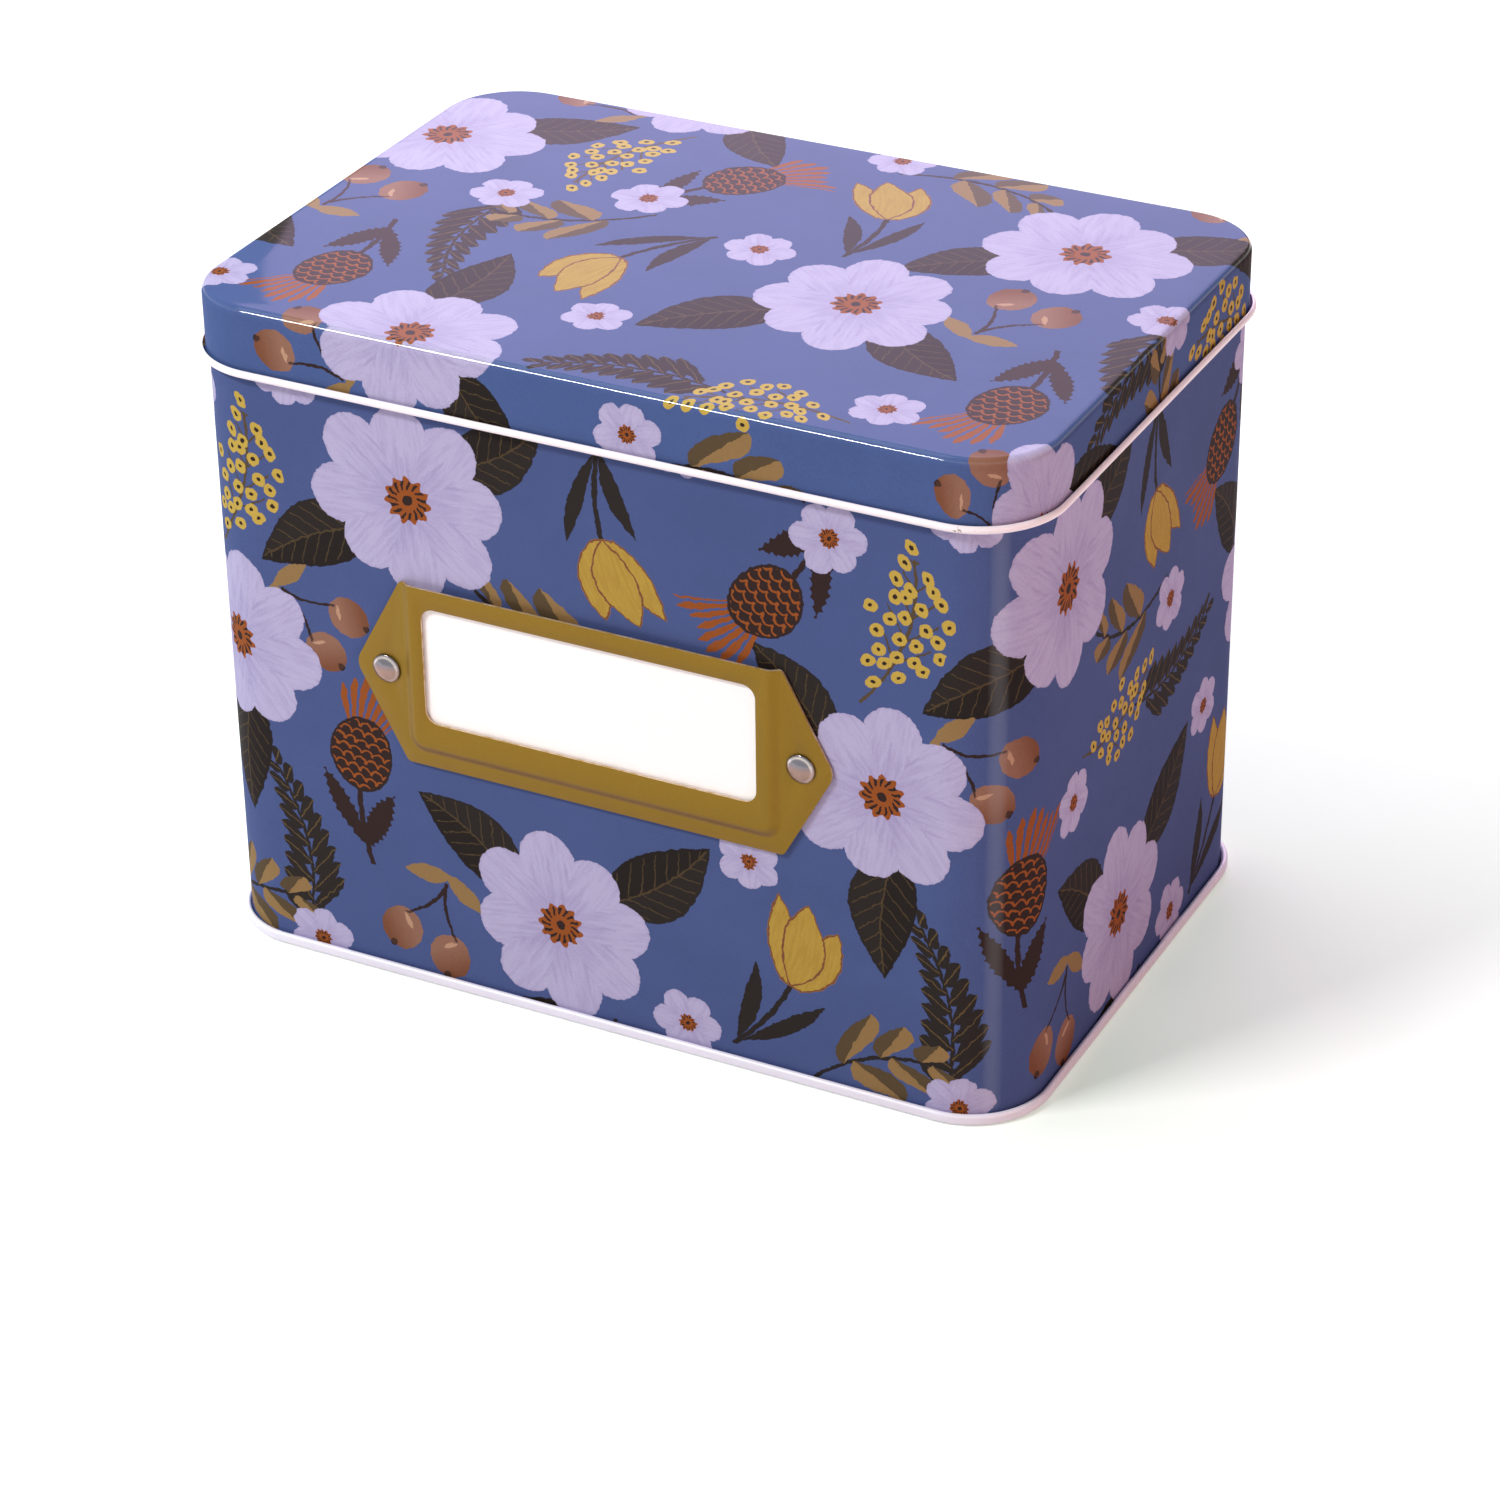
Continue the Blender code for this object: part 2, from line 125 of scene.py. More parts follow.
def make_sheet(name, bm, thickness, outside, inside):
    """Sheet metal round a middle surface, with one finish outside and another inside and on its cut edges."""
    mesh = bpy.data.meshes.new(name)
    bm.to_mesh(mesh)
    bm.free()
    mesh.materials.append(outside)
    mesh.materials.append(inside)
    piece = put_in_scene(name, mesh)
    solidify = piece.modifiers.new("thickness", "SOLIDIFY")
    solidify.thickness = thickness
    solidify.offset = 0
    solidify.use_even_offset = True
    solidify.material_offset = 1
    solidify.material_offset_rim = 1
    return settle(piece, CUT_EDGE_ANGLE)


def settle(piece, sharp):
    """Keep what a piece's modifiers make as its own mesh, smooth below an angle and sharp above it."""
    made = bpy.data.meshes.new_from_object(piece.evaluated_get(bpy.context.evaluated_depsgraph_get()))
    piece.modifiers.clear()
    piece.data = made
    made.name = piece.name
    made.shade_smooth()
    made.set_sharp_from_angle(angle=sharp)
    return piece


# The wall's section, as (outwards, height): the rim's curl, the straight wall and the fold into the base seam
wall_out = -SHEET / 2
rim_centre = RIM_TOP - SHEET / 2 - RIM_CURL
seam_in = wall_out + SEAM_TURN
seam_out = seam_in + SEAM_FLAT
seam_bend_up = SHEET / 2 + SEAM_TURN + LEAF
wall_section = arc((wall_out - RIM_CURL, rim_centre), RIM_CURL, 3 * pi / 2, 0, CURL_STEPS)
hooks_row = len(wall_section)
foot_row = hooks_row + 1
wall_section += [(wall_out, HOOKS_TOP), (wall_out, HOOKS_FOOT)]
wall_section += arc((seam_in, seam_bend_up), SEAM_TURN, pi, 3 * pi / 2, FOLD_STEPS)
wall_section += arc((seam_out, seam_bend_up), SEAM_TURN, 3 * pi / 2, 2 * pi, FOLD_STEPS)
wall_section.append((seam_out + SEAM_TURN, SEAM_TOP - SHEET / 2 - LEAF))

# The lock seam's two hooks, seen from above
fold_x = LOCK_LAP / 2
lock_y = BODY_DEPTH / 2 + wall_out
left_hook = arc((fold_x, lock_y - LEAF), LEAF, pi / 2, -pi / 2, HOOK_STEPS)
left_hook.append((LEAF - fold_x, lock_y - 2 * LEAF))
slope_fall = LEAF + 2 * LEAF * cos(LOCK_SLOPE) - LOCK_BEND * (1 - cos(LOCK_SLOPE))
slope_x = fold_x + (2 * LEAF + LOCK_BEND) * sin(LOCK_SLOPE) + slope_fall / tan(LOCK_SLOPE)
right_hook = arc((slope_x, lock_y - LOCK_BEND), LOCK_BEND, pi / 2, pi / 2 + LOCK_SLOPE, FOLD_STEPS)
right_hook += arc((fold_x, lock_y - LEAF), 2 * LEAF, LOCK_SLOPE - pi / 2, -pi / 2, SLOPE_STEPS)
right_hook += arc((-fold_x, lock_y - 2 * LEAF), LEAF, -pi / 2, -3 * pi / 2, HOOK_STEPS)
right_hook.append((fold_x - LEAF / 2, lock_y - LEAF))

# Each point is printed as far along the design as it lies along the strip from the front's middle, and as far up
section_lengths = lengths_along(wall_section)
heights = [HOOKS_FOOT + section_lengths[foot_row] - length for length in section_lengths]
plan = [(left_hook[0][0], BODY_DEPTH / 2)]
plan += [(point.x, point.y) for point in ring_round_body(0, 0)]
plan.append((right_hook[0][0], BODY_DEPTH / 2))
plan_lengths = lengths_along(plan)
front_start = 2 * (CORNER_STEPS + 1)
front_middle = (plan_lengths[front_start] + plan_lengths[front_start + 1]) / 2
rows, places = [], []
for (out, height), up in zip(wall_section, heights):
    left_end = Vector((left_hook[0][0], BODY_DEPTH / 2 + out, height))
    right_end = Vector((right_hook[0][0], BODY_DEPTH / 2 + out, height))
    rows.append([left_end, *ring_round_body(out, height), right_end])
    places.append([(length - front_middle, up) for length in plan_lengths])
bm, verts = sheet(rows, places, closed=False)
print_map = bm.loops.layers.uv["Print"]
for column, hook, turn in ((0, left_hook, -1), (len(plan) - 1, right_hook, 1)):
    upper, lower = verts[hooks_row][column], verts[foot_row][column]
    ends = lengths_along(hook)
    start = plan_lengths[column] - front_middle
    for i in range(1, len(hook)):
        new_upper = bm.verts.new((*hook[i], upper.co.z))
        new_lower = bm.verts.new((*hook[i], lower.co.z))
        corners = [upper, lower, new_lower, new_upper]
        along = [ends[i - 1], ends[i - 1], ends[i], ends[i]]
        if turn < 0:
            corners.reverse()
            along.reverse()
        face = bm.faces.new(corners)
        for loop, length in zip(face.loops, along):
            loop[print_map].uv = (start + turn * length, loop.vert.co.z)
        upper, lower = new_upper, new_lower

# How fast the ink of the printed design fades out at its edge, per millimetre
INK_EDGE = 9.0


class Recipe:
    """The nodes of one finish or effect, written as sums, and what they fill in. Most calls give a node's output."""

    def __init__(self, tree, results):
        self.tree = tree
        self.results = results

    def feed(self, socket, value):
        """Set a socket to a plain value, or link it to another node's output."""
        if isinstance(value, bpy.types.NodeSocket):
            self.tree.links.new(value, socket)
        elif value is not None:
            socket.default_value = value

    def node(self, kind, *inputs, output=0, **settings):
        """Add a node with its inputs in their order, None for one left as it is, and give one of its outputs."""
        made = self.tree.nodes.new("ShaderNode" + kind)
        for setting, value in settings.items():
            setattr(made, setting, value)
        for socket, value in zip(made.inputs, inputs):
            self.feed(socket, value)
        return made.outputs[output]

    def fill(self, sockets, values):
        """Feed sockets by their names, in which spaces are written as underscores."""
        for title, value in values.items():
            self.feed(sockets[title.replace("_", " ")], value)

    def give(self, **values):
        """Fill in what the recipe is for."""
        self.fill(self.results, values)

    def use(self, group, **inputs):
        """Place an effect and give its outputs by name."""
        made = self.tree.nodes.new("ShaderNodeGroup")
        made.node_tree = group
        self.fill(made.inputs, inputs)
        return made.outputs

    def sum(self, operation, *inputs, clamp=False):
        """A number worked out from others."""
        return self.node("Math", *inputs, operation=operation, use_clamp=clamp)

    plus = partialmethod(sum, "ADD")
    minus = partialmethod(sum, "SUBTRACT")
    ratio = partialmethod(sum, "DIVIDE")
    size = partialmethod(sum, "ABSOLUTE")
    above = partialmethod(sum, "GREATER_THAN")
    below = partialmethod(sum, "LESS_THAN")
    # A value times a slope, from a start
    ramp = partialmethod(sum, "MULTIPLY_ADD")

    def times(self, product, *others):
        """Some numbers multiplied."""
        for other in others:
            product = self.sum("MULTIPLY", product, other)
        return product

    def largest(self, most, *others):
        """The largest of some numbers."""
        for other in others:
            most = self.sum("MAXIMUM", most, other)
        return most

    def vector(self, operation, *inputs):
        """A place worked out from others, or a length."""
        output = "Value" if operation in ("LENGTH", "DISTANCE", "DOT_PRODUCT") else "Vector"
        return self.node("VectorMath", *inputs, operation=operation, output=output)

    def part(self, place, axis):
        """How far a place lies along X, Y or Z."""
        return self.node("SeparateXYZ", place, output=axis)

    def split(self, place):
        """How far a place lies along and across."""
        return self.part(place, "X"), self.part(place, "Y")

    def span(self, along, across):
        """The length of a step that goes along and across."""
        return self.vector("LENGTH", self.node("CombineXYZ", along, across, 0.0))

    def bow(self, along, across, bend):
        """How far a place lies across from a line that bends away."""
        return self.ramp(self.times(along, along), bend, across)

    def leaning(self, along, across, middle, lean):
        """A place as seen from the middle of something that leans, along it and across it."""
        along, across = self.minus(along, middle[0]), self.minus(across, middle[1])
        ahead = self.ramp(along, lean[0], self.times(across, lean[1]))
        return ahead, self.ramp(along, -lean[1], self.times(across, lean[0]))

    def repeats(self, value, pitch):
        """How far a value lies from the middle of its own repeat."""
        return self.times(self.minus(self.sum("FRACT", self.ratio(value, pitch)), 0.5), pitch)

    def lens(self, along, across, half_length, half_width):
        """How far a place lies inside a pointed oval."""
        share = self.ratio(along, half_length)
        swell = self.minus(1.0, self.times(share, share))
        return self.minus(self.times(swell, half_width), self.size(across))

    def painted(self, inside):
        """A mask of ink where a distance inside an outline is above nothing."""
        return self.ramp(inside, INK_EDGE, 0.5, clamp=True)

    def stroke(self, across, half_width):
        """A mask of ink along a line."""
        return self.painted(self.minus(half_width, self.size(across)))

    def band(self, value, low, high):
        """One where a value lies between two limits."""
        return self.times(self.above(value, low), self.below(value, high))

    def over(self, share, under, colour, **settings):
        """A colour laid over another by a share."""
        return self.node("Mix", share, *[None] * 5, under, colour, data_type="RGBA", output=2, **settings)

    def noise(self, place, scale, *detail, **settings):
        """Cloudy noise of some scale, with its layers of detail and their roughness."""
        return self.node("TexNoise", place, None, scale, *detail, **settings)

    def emboss(self, height):
        """Give a surface relief, with its height in metres."""
        self.give(Normal=self.node("Bump", 1.0, 1.0, None, height))


def effect(name, results, **inputs):
    """A node group that works something out for a place, with its other inputs' defaults."""
    group = bpy.data.node_groups.new(name, "ShaderNodeTree")
    for title, default in {"Place": (0, 0, 0), **inputs}.items():
        kind = {1: "Float", 3: "Vector", 4: "Color"}[len(default) if isinstance(default, tuple) else 1]
        socket = group.interface.new_socket(title.replace("_", " "), in_out="INPUT", socket_type="NodeSocket" + kind)
        socket.default_value = default
    for title in results:
        kind = {"Local Place": "Vector", "Color": "Color"}.get(title, "Float")
        group.interface.new_socket(title, in_out="OUTPUT", socket_type="NodeSocket" + kind)
    entries = group.nodes.new("NodeGroupInput").outputs
    return group, Recipe(group, group.nodes.new("NodeGroupOutput").inputs), entries


# The printed design has a few kinds of flowers, leaves and fruit, and repeats along the sheet and up it. Sizes in it
# are in millimetres. Each kind is drawn round its own middle, with its stalk towards the left.
REPEAT = (132.3, 118.0, 1.0)
FAR_AWAY = 999.0

nearest_motif, r, entry = effect(
    "Nearest Motif", ("Distance", "Local Place"),
    Centre=(0, 0, 0), Turn=0.0, Size=1.0, Best_Distance=FAR_AWAY, Best_Place=(0, 0, 0),
)
away = r.vector("SUBTRACT", entry["Place"], entry["Centre"])
away = r.vector("WRAP", away, tuple(size / 2 for size in REPEAT), tuple(-size / 2 for size in REPEAT))
turned = r.node("VectorRotate", away, None, None, r.times(entry["Turn"], -1.0), rotation_type="Z_AXIS")
turned = r.vector("SCALE", turned, None, None, r.ratio(1.0, entry["Size"]))
length = r.vector("LENGTH", turned)
closer = r.below(length, entry["Best Distance"])
r.give(Distance=r.sum("MINIMUM", length, entry["Best Distance"]))
chosen = r.node("Mix", closer, None, None, None, entry["Best Place"], turned, data_type="VECTOR", output=1)
r.give(Local_Place=chosen)

# Blossom: broad petals that differ a little, with brushed streaks and veins, round a ragged heart with stamens
SHORTEST_PETAL, PETAL_CHANCE = 0.88, 0.14
PETAL_MIDDLE = 0.56
PETAL_FLARE = 0.16
PETAL_SWELL = 0.55
STREAKS_ALONG, STREAKS_ACROSS, STREAKS_APART = 0.16, 1.3, 7.3
VEINS_ACROSS = 5.2
HEART_TEETH, TOOTH_DEPTH = 11.0, 0.12
STAMENS, STAMEN_TWIST = 15.0, 1.6
STAMENS_FROM, STAMENS_TO = 0.5, 0.92
HEART_EYE = 0.22

blossom, r, entry = effect(
    "Blossom", ("Petal", "Tone", "Vein", "Heart", "Stamens"),
    Petals=8.0, Reach=18.0, Petal_Width=6.0, Heart=3.6,
)
x, y = r.split(entry["Place"])
radius = r.vector("LENGTH", entry["Place"])
angle = r.sum("ARCTAN2", y, x)
step = r.ratio(2 * pi, entry["Petals"])
turn = r.sum("ROUND", r.ratio(angle, step))
bearing = r.minus(angle, r.times(turn, step))
number = r.sum("FLOORED_MODULO", turn, entry["Petals"])
chance = r.node("TexWhiteNoise", None, number, noise_dimensions="1D")
along = r.times(radius, r.sum("COSINE", bearing))
across = r.times(radius, r.sum("SINE", bearing))
reach = r.times(entry["Reach"], r.ramp(chance, PETAL_CHANCE, SHORTEST_PETAL))
from_middle = r.ratio(r.ramp(reach, -PETAL_MIDDLE, along), r.times(reach, 1.0 - PETAL_MIDDLE))
width = r.times(entry["Petal Width"], r.ramp(from_middle, PETAL_FLARE, 1.0))
sideways = r.ratio(across, width)
outline = r.ramp(from_middle, from_middle, r.times(sideways, sideways))
inside = r.times(r.minus(1.0, outline), r.times(entry["Petal Width"], PETAL_SWELL))
r.give(Petal=r.painted(inside))
stretched = r.times(along, STREAKS_ALONG), r.times(across, STREAKS_ACROSS)
streaks = r.node("CombineXYZ", *stretched, r.times(number, STREAKS_APART))
brush = r.noise(streaks, 1.0, 2.0)
foot_shade = r.minus(1.0, r.ratio(along, r.times(reach, 0.6)), clamp=True)
rim_shade = r.minus(1.0, r.times(inside, 2.2), clamp=True)
tone = r.ramp(rim_shade, 0.25, r.ramp(brush, 1.3, -0.55))
r.give(Tone=r.ramp(foot_shade, 0.5, tone, clamp=True))
vein_wave = r.times(r.sum("SINE", r.times(sideways, VEINS_ACROSS)), 0.35)
vein_reach = r.times(reach, r.ramp(brush, 0.9, 0.15))
r.give(Vein=r.times(r.stroke(vein_wave, 0.055), r.below(along, vein_reach)))
ragged = r.ramp(r.sum("SINE", r.times(angle, HEART_TEETH)), TOOTH_DEPTH, 1.0)
r.give(Heart=r.painted(r.minus(r.times(entry["Heart"], ragged), radius)))
spiral = r.ramp(angle, STAMENS, r.times(radius, STAMEN_TWIST))
dash = r.above(r.sum("SINE", spiral), 0.25)
share = r.ratio(radius, entry["Heart"])
eye = r.below(share, HEART_EYE)
r.give(Stamens=r.largest(r.times(dash, r.band(share, STAMENS_FROM, STAMENS_TO)), eye))

# Broad leaf: fuller towards its stalk, one half darker, with a rib and slanting side ribs
leaf, r, entry = effect("Broad Leaf", ("Leaf", "Vein", "Half"), Half_Length=14.0, Half_Width=6.5)
x, y = r.split(entry["Place"])
bowed = r.bow(x, y, -0.010)
fuller = r.times(entry["Half Width"], r.minus(1.0, r.times(x, 0.018)))
inside = r.lens(x, bowed, entry["Half Length"], fuller)
stalk = r.times(r.stroke(bowed, 0.42), r.band(x, -19.0, -12.0))
r.give(Leaf=r.largest(r.painted(inside), stalk))
slanting = r.ramp(r.size(bowed), -0.9, x)
ribs = r.largest(r.stroke(bowed, 0.17), r.stroke(r.repeats(slanting, 3.1), 0.14))
r.give(Vein=r.times(ribs, r.above(inside, 0.7)))
r.give(Half=r.above(bowed, 0.0))

# Frond: pairs of small leaves, swept forward along a bowed stem and shorter towards its tip
LEAFLET_SLANT = 0.72

frond, r, entry = effect(
    "Frond", ("Leaf", "Half", "Rib", "Stem"),
    Length=40.0, Leaf_Length=9.0, Leaf_Width=1.9, Spacing=5.0, Bow=0.012,
)
x, y = r.split(entry["Place"])
bowed = r.bow(x, y, r.times(entry["Bow"], -1.0))
side = r.sum("SIGN", bowed)
outward = r.size(bowed)
swept = r.ramp(side, 1.1, r.ramp(outward, -0.95, x))
rooted = r.times(r.sum("ROUND", r.ratio(swept, entry["Spacing"])), entry["Spacing"])
offset = r.minus(swept, rooted)
taper = r.ramp(r.ratio(rooted, entry["Length"]), -0.75, 0.72)
leaf_length = r.times(entry["Leaf Length"], taper)
share = r.ratio(r.times(outward, 1.38), leaf_length)
swell = r.times(share, r.minus(1.0, share), 4.0)
width = r.times(entry["Leaf Width"], swell, r.ramp(taper, 0.6, 0.5))
beside = r.times(r.size(offset), LEAFLET_SLANT)
half_length = r.ratio(entry["Length"], 2.0)
on_stem = r.below(r.size(rooted), half_length)
r.give(Leaf=r.times(r.painted(r.minus(width, beside)), on_stem))
r.give(Half=r.above(r.times(offset, side), 0.0))
r.give(Rib=r.stroke(beside, 0.13))
stem_reach = r.below(r.size(r.plus(x, 2.5)), r.plus(half_length, 1.5))
r.give(Stem=r.times(r.stroke(bowed, 0.42), stem_reach))

# Tulip: a cup of three pointed petals on a bowed stem between two leaves
tulip, r, entry = effect("Tulip", ("Cup", "Line", "Stalk", "Streak"))
x, y = r.split(entry["Place"])
bowed = r.bow(x, y, -0.012)
outward = r.size(bowed)
middle_petal = r.lens(r.minus(x, 9.0), bowed, 9.0, 4.4)
side_petal = r.lens(*r.leaning(x, outward, (8.2, 4.3), (0.966, 0.259)), 8.6, 3.4)
bulge = r.minus(5.2, r.span(r.minus(x, 5.0), bowed))
cup = r.largest(middle_petal, side_petal, bulge)
r.give(Cup=r.painted(cup))
inner_lines = r.times(r.stroke(middle_petal, 0.22), r.above(cup, 0.3))
r.give(Line=r.largest(inner_lines, r.stroke(r.minus(cup, 0.2), 0.2)))
streaks = r.node("CombineXYZ", r.times(x, 0.2), r.times(bowed, 1.5), 3.0)
r.give(Streak=r.noise(streaks, 1.0, 2.0))
stem = r.times(r.stroke(bowed, 0.55), r.band(x, -19.0, 1.5))
blade = r.lens(*r.leaning(x, outward, (-8.5, 4.0), (0.93, 0.37)), 9.5, 1.7)
r.give(Stalk=r.largest(stem, r.painted(blade)))

# Thistle: a scaly bulb with a fan of ragged rays, on a stem with two spiny leaves
BULB_RADIUS = 6.6
SCALE_LENGTH, SCALE_WIDTH, SCALE_RADIUS = 1.9, 2.5, 1.2
RAYS, FAN_HALF_ANGLE = 44.0, 0.52

thistle, r, entry = effect("Thistle", ("Dark", "Scales", "Tuft"))
x, y = r.split(entry["Place"])
bowed = r.bow(x, y, 0.010)
outward = r.size(bowed)
bulb = r.minus(BULB_RADIUS, r.span(r.times(x, 0.82), bowed))
stem = r.times(r.stroke(bowed, 0.6), r.band(x, -23.0, -5.0))
leaf_along, leaf_across = r.leaning(x, outward, (-13.0, 3.6), (0.87, 0.5))
spines = r.times(r.size(r.sum("SINE", r.times(leaf_along, 2.0))), 0.55)
spiny = r.minus(r.lens(leaf_along, leaf_across, 8.5, 2.5), spines)
r.give(Dark=r.largest(r.painted(bulb), stem, r.painted(spiny)))
row = r.ratio(x, SCALE_LENGTH)
stagger = r.times(r.sum("FLOORED_MODULO", r.sum("FLOOR", row), 2.0), 0.5)
beside = r.minus(r.sum("FRACT", r.ramp(bowed, 1 / SCALE_WIDTH, stagger)), 0.5)
from_scale = r.span(r.times(r.sum("FRACT", row), SCALE_LENGTH), r.times(beside, SCALE_WIDTH))
scale_edge = r.stroke(r.minus(from_scale, SCALE_RADIUS), 0.2)
r.give(Scales=r.times(scale_edge, r.above(bulb, 0.5)))
fan_along = r.plus(x, 1.0)
fan = r.sum("ARCTAN2", bowed, fan_along)
reach = r.span(fan_along, bowed)
rays = r.sum("SINE", r.times(fan, RAYS))
tips = r.ramp(rays, 1.3, r.ramp(r.sum("SINE", r.times(fan, 9.0)), 1.2, 16.0))
in_fan = r.painted(r.times(r.minus(FAN_HALF_ANGLE, r.size(fan)), 10.0))
ray = r.times(r.painted(r.minus(tips, reach)), r.above(reach, 6.0))
r.give(Tuft=r.times(ray, in_fan, r.above(rays, -0.55)))

# Twin fruit: two round fruits, each on its own bent stalk from a fork with two leaves
FRUIT_AT = (6.0, 5.4)
FRUIT_RADIUS = 4.3
FORK_AT = -9.0

cherries, r, entry = effect("Twin Fruit", ("Fruit", "Shade", "Light", "Stalk", "Leaf"))
x, y = r.split(entry["Place"])
outward = r.size(y)
fruit_along = r.minus(x, FRUIT_AT[0])
fruit_across = r.minus(outward, FRUIT_AT[1])
fruit = r.minus(FRUIT_RADIUS, r.span(r.times(fruit_along, 0.9), fruit_across))
r.give(Fruit=r.painted(fruit))
lower = r.plus(fruit_along, fruit_across)
r.give(Shade=r.ramp(lower, 0.13, 0.35, clamp=True))
glint_along = r.plus(r.minus(fruit_along, fruit_across), 1.6)
glint = r.lens(glint_along, r.plus(lower, 3.0), 2.6, 0.7)
r.give(Light=r.times(r.painted(glint), r.above(fruit, 0.4)))
from_fork = r.minus(x, FORK_AT)
sag = r.times(from_fork, from_fork, 0.045)
stalk = r.times(r.stroke(r.minus(outward, sag), 0.38), r.band(x, FORK_AT, 2.2))
blossom_end = r.span(r.minus(fruit_along, FRUIT_RADIUS), r.minus(fruit_across, 0.6))
r.give(Stalk=r.largest(stalk, r.painted(r.minus(0.8, blossom_end))))
r.give(Leaf=r.painted(r.lens(*r.leaning(x, outward, (FORK_AT, 4.0), (0.35, 0.94)), 5.2, 1.9)))

# Berry spray: small loose berries with dark eyes round a twig
BERRY_RADIUS = 1.42
BERRIES_PER_MM, BERRY_LOOSENESS = 0.27, 0.62

spray, r, entry = effect("Berry Spray", ("Berry", "Eye", "Twig"))
x, y = r.split(entry["Place"])
bowed = r.bow(x, y, -0.014)
flat = r.node("CombineXYZ", x, bowed, 0.0)
cells = flat, None, BERRIES_PER_MM, *[None] * 5, BERRY_LOOSENESS
berry_middle = r.node("TexVoronoi", *cells, voronoi_dimensions="2D", output="Position")
middle_x, middle_y = r.split(berry_middle)
in_spray = r.above(r.lens(r.minus(middle_x, 1.5), middle_y, 17.0, 8.2), 0.0)
berry = r.minus(BERRY_RADIUS, r.vector("DISTANCE", flat, berry_middle))
r.give(Berry=r.times(r.painted(berry), in_spray))
r.give(Eye=r.times(r.painted(r.minus(berry, 0.98)), in_spray))
stem = r.times(r.stroke(bowed, 0.34), r.band(x, -19.0, 14.0))
swept = r.ramp(r.size(bowed), -1.1, x)
near_stem = r.above(r.lens(r.minus(x, 1.0), bowed, 14.0, 5.4), 0.0)
r.give(Twig=r.largest(stem, r.times(r.stroke(r.repeats(swept, 5.2), 0.3), near_stem)))


def ink(code):
    """A printing ink from its colour code."""
    shares = [int(code[i : i + 2], 16) / 255 for i in (0, 2, 4)]
    return (*((s / 12.92 if s <= 0.04045 else ((s + 0.055) / 1.055) ** 2.4) for s in shares), 1.0)


WALL_BLUES = ink("4A5A8B"), ink("445380")
LID_BLUES = ink("495E92"), ink("435786")
WHITE_COAT, WHITE_DULL = ink("F6F3F7"), ink("EEE9EF")
LILAC, LILAC_SHADE = ink("AFABCC"), ink("9089B4")
MUSTARD, MUSTARD_DEEP = ink("B89E48"), ink("987734")
RUST, BROWN = ink("8E4E24"), ink("312523")
LEAF_DARK, LEAF_SHADE, LEAF_VEIN = ink("2B2725"), ink("25211F"), ink("5E4E33")
OLIVE, OLIVE_LIGHT = ink("544733"), ink("8A7049")
TAN, TAN_DEEP, TAN_LIGHT = ink("8A6655"), ink("754B36"), ink("B18D73")

# Where each motif stands in one repeat: along the sheet, up it, its turn in degrees and its size
DAISY_PLACES = ((-8, 20, 10, 1.0), (-36, 101, 50, 1.03), (57, 64, 81, 0.97))
SMALL_BLOSSOM_PLACES = (
    (18, 6, 0, 1.0), (-31, 56, 40, 0.95), (12, 76, 15, 0.95),
    (47, 112, 65, 1.05), (31, 44, 30, 0.9), (-60, 3, 22, 1.0),
)
LEAF_PLACES = (
    (-25, 34, 142, 1.0), (13, 34, 38, 1.05), (-56, 90, 205, 1.0),
    (-18, 113, 32, 0.95), (57, 41, 265, 1.0), (41, 80, 128, 0.9),
)
TULIP_PLACES = ((39, 20, 66, 1.0), (3, 102, 283, 0.95))
THISTLE_PLACES = ((-49, 46, 80, 1.0), (35, 97, 225, 1.0))
FERN_PLACES = ((-62, 24, 100, 0.85), (16, 60, 8, 0.8))
SPRIG_PLACES = ((-10, 80, 168, 1.0), (58, 10, 15, 0.95))
FRUIT_PLACES = ((-35, 14, 250, 1.0), (-57, 73, 328, 0.9))
SPRAY_PLACES = ((-10, 62, 10, 0.9), (62, 98, 75, 0.95))

# All the motifs printed over the ground, each kind over the last, with a hand-drawn shiver in every outline
botanical_print, r, entry = effect(
    "Botanical Print", ("Color", "Ink"),
    Ground=WALL_BLUES[0], Ground_Deep=WALL_BLUES[1],
)
place = r.vector("SCALE", entry["Place"], None, None, 1000.0)
shiver = r.noise(place, 0.55, 3.0, 0.6, noise_dimensions="2D", output="Color")
place = r.vector("MULTIPLY_ADD", r.vector("SUBTRACT", shiver, (0.5, 0.5, 0.5)), (0.9, 0.9, 0.0), place)


def nearest(places):
    """The place in its own frame of whichever motif of a kind is nearest."""
    best, local = FAR_AWAY, (0, 0, 0)
    for along, up, degrees, size in places:
        found = r.use(
            nearest_motif, Place=place, Centre=(along, up, 0), Turn=radians(degrees), Size=size,
            Best_Distance=best, Best_Place=local,
        )
        best, local = found["Distance"], found["Local Place"]
    return local


def printed_over(colour, parts, **layers):
    """A colour with a motif's layers of ink over it, in their order."""
    for part, layer in layers.items():
        colour = r.over(parts[part], colour, layer)
    return colour


mottle = r.noise(place, 0.06, 4.0, 0.65, noise_dimensions="2D")
colour = r.over(mottle, entry["Ground Deep"], entry["Ground"])
parts = r.use(frond, Place=nearest(FERN_PLACES), Length=40.0, Leaf_Length=11.0, Leaf_Width=2.1, Spacing=4.6, Bow=0.01)
fern = r.largest(parts["Leaf"], parts["Stem"])
colour = r.over(fern, colour, LEAF_DARK)
colour = r.over(r.times(parts["Rib"], parts["Leaf"]), colour, LEAF_VEIN)
parts = r.use(
    frond, Place=nearest(SPRIG_PLACES), Length=30.0, Leaf_Length=14.0, Leaf_Width=3.0, Spacing=8.5, Bow=-0.016,
)
colour = printed_over(colour, parts, Stem=LEAF_DARK, Leaf=r.over(parts["Half"], OLIVE, OLIVE_LIGHT))
covered = r.largest(fern, parts["Leaf"], parts["Stem"])
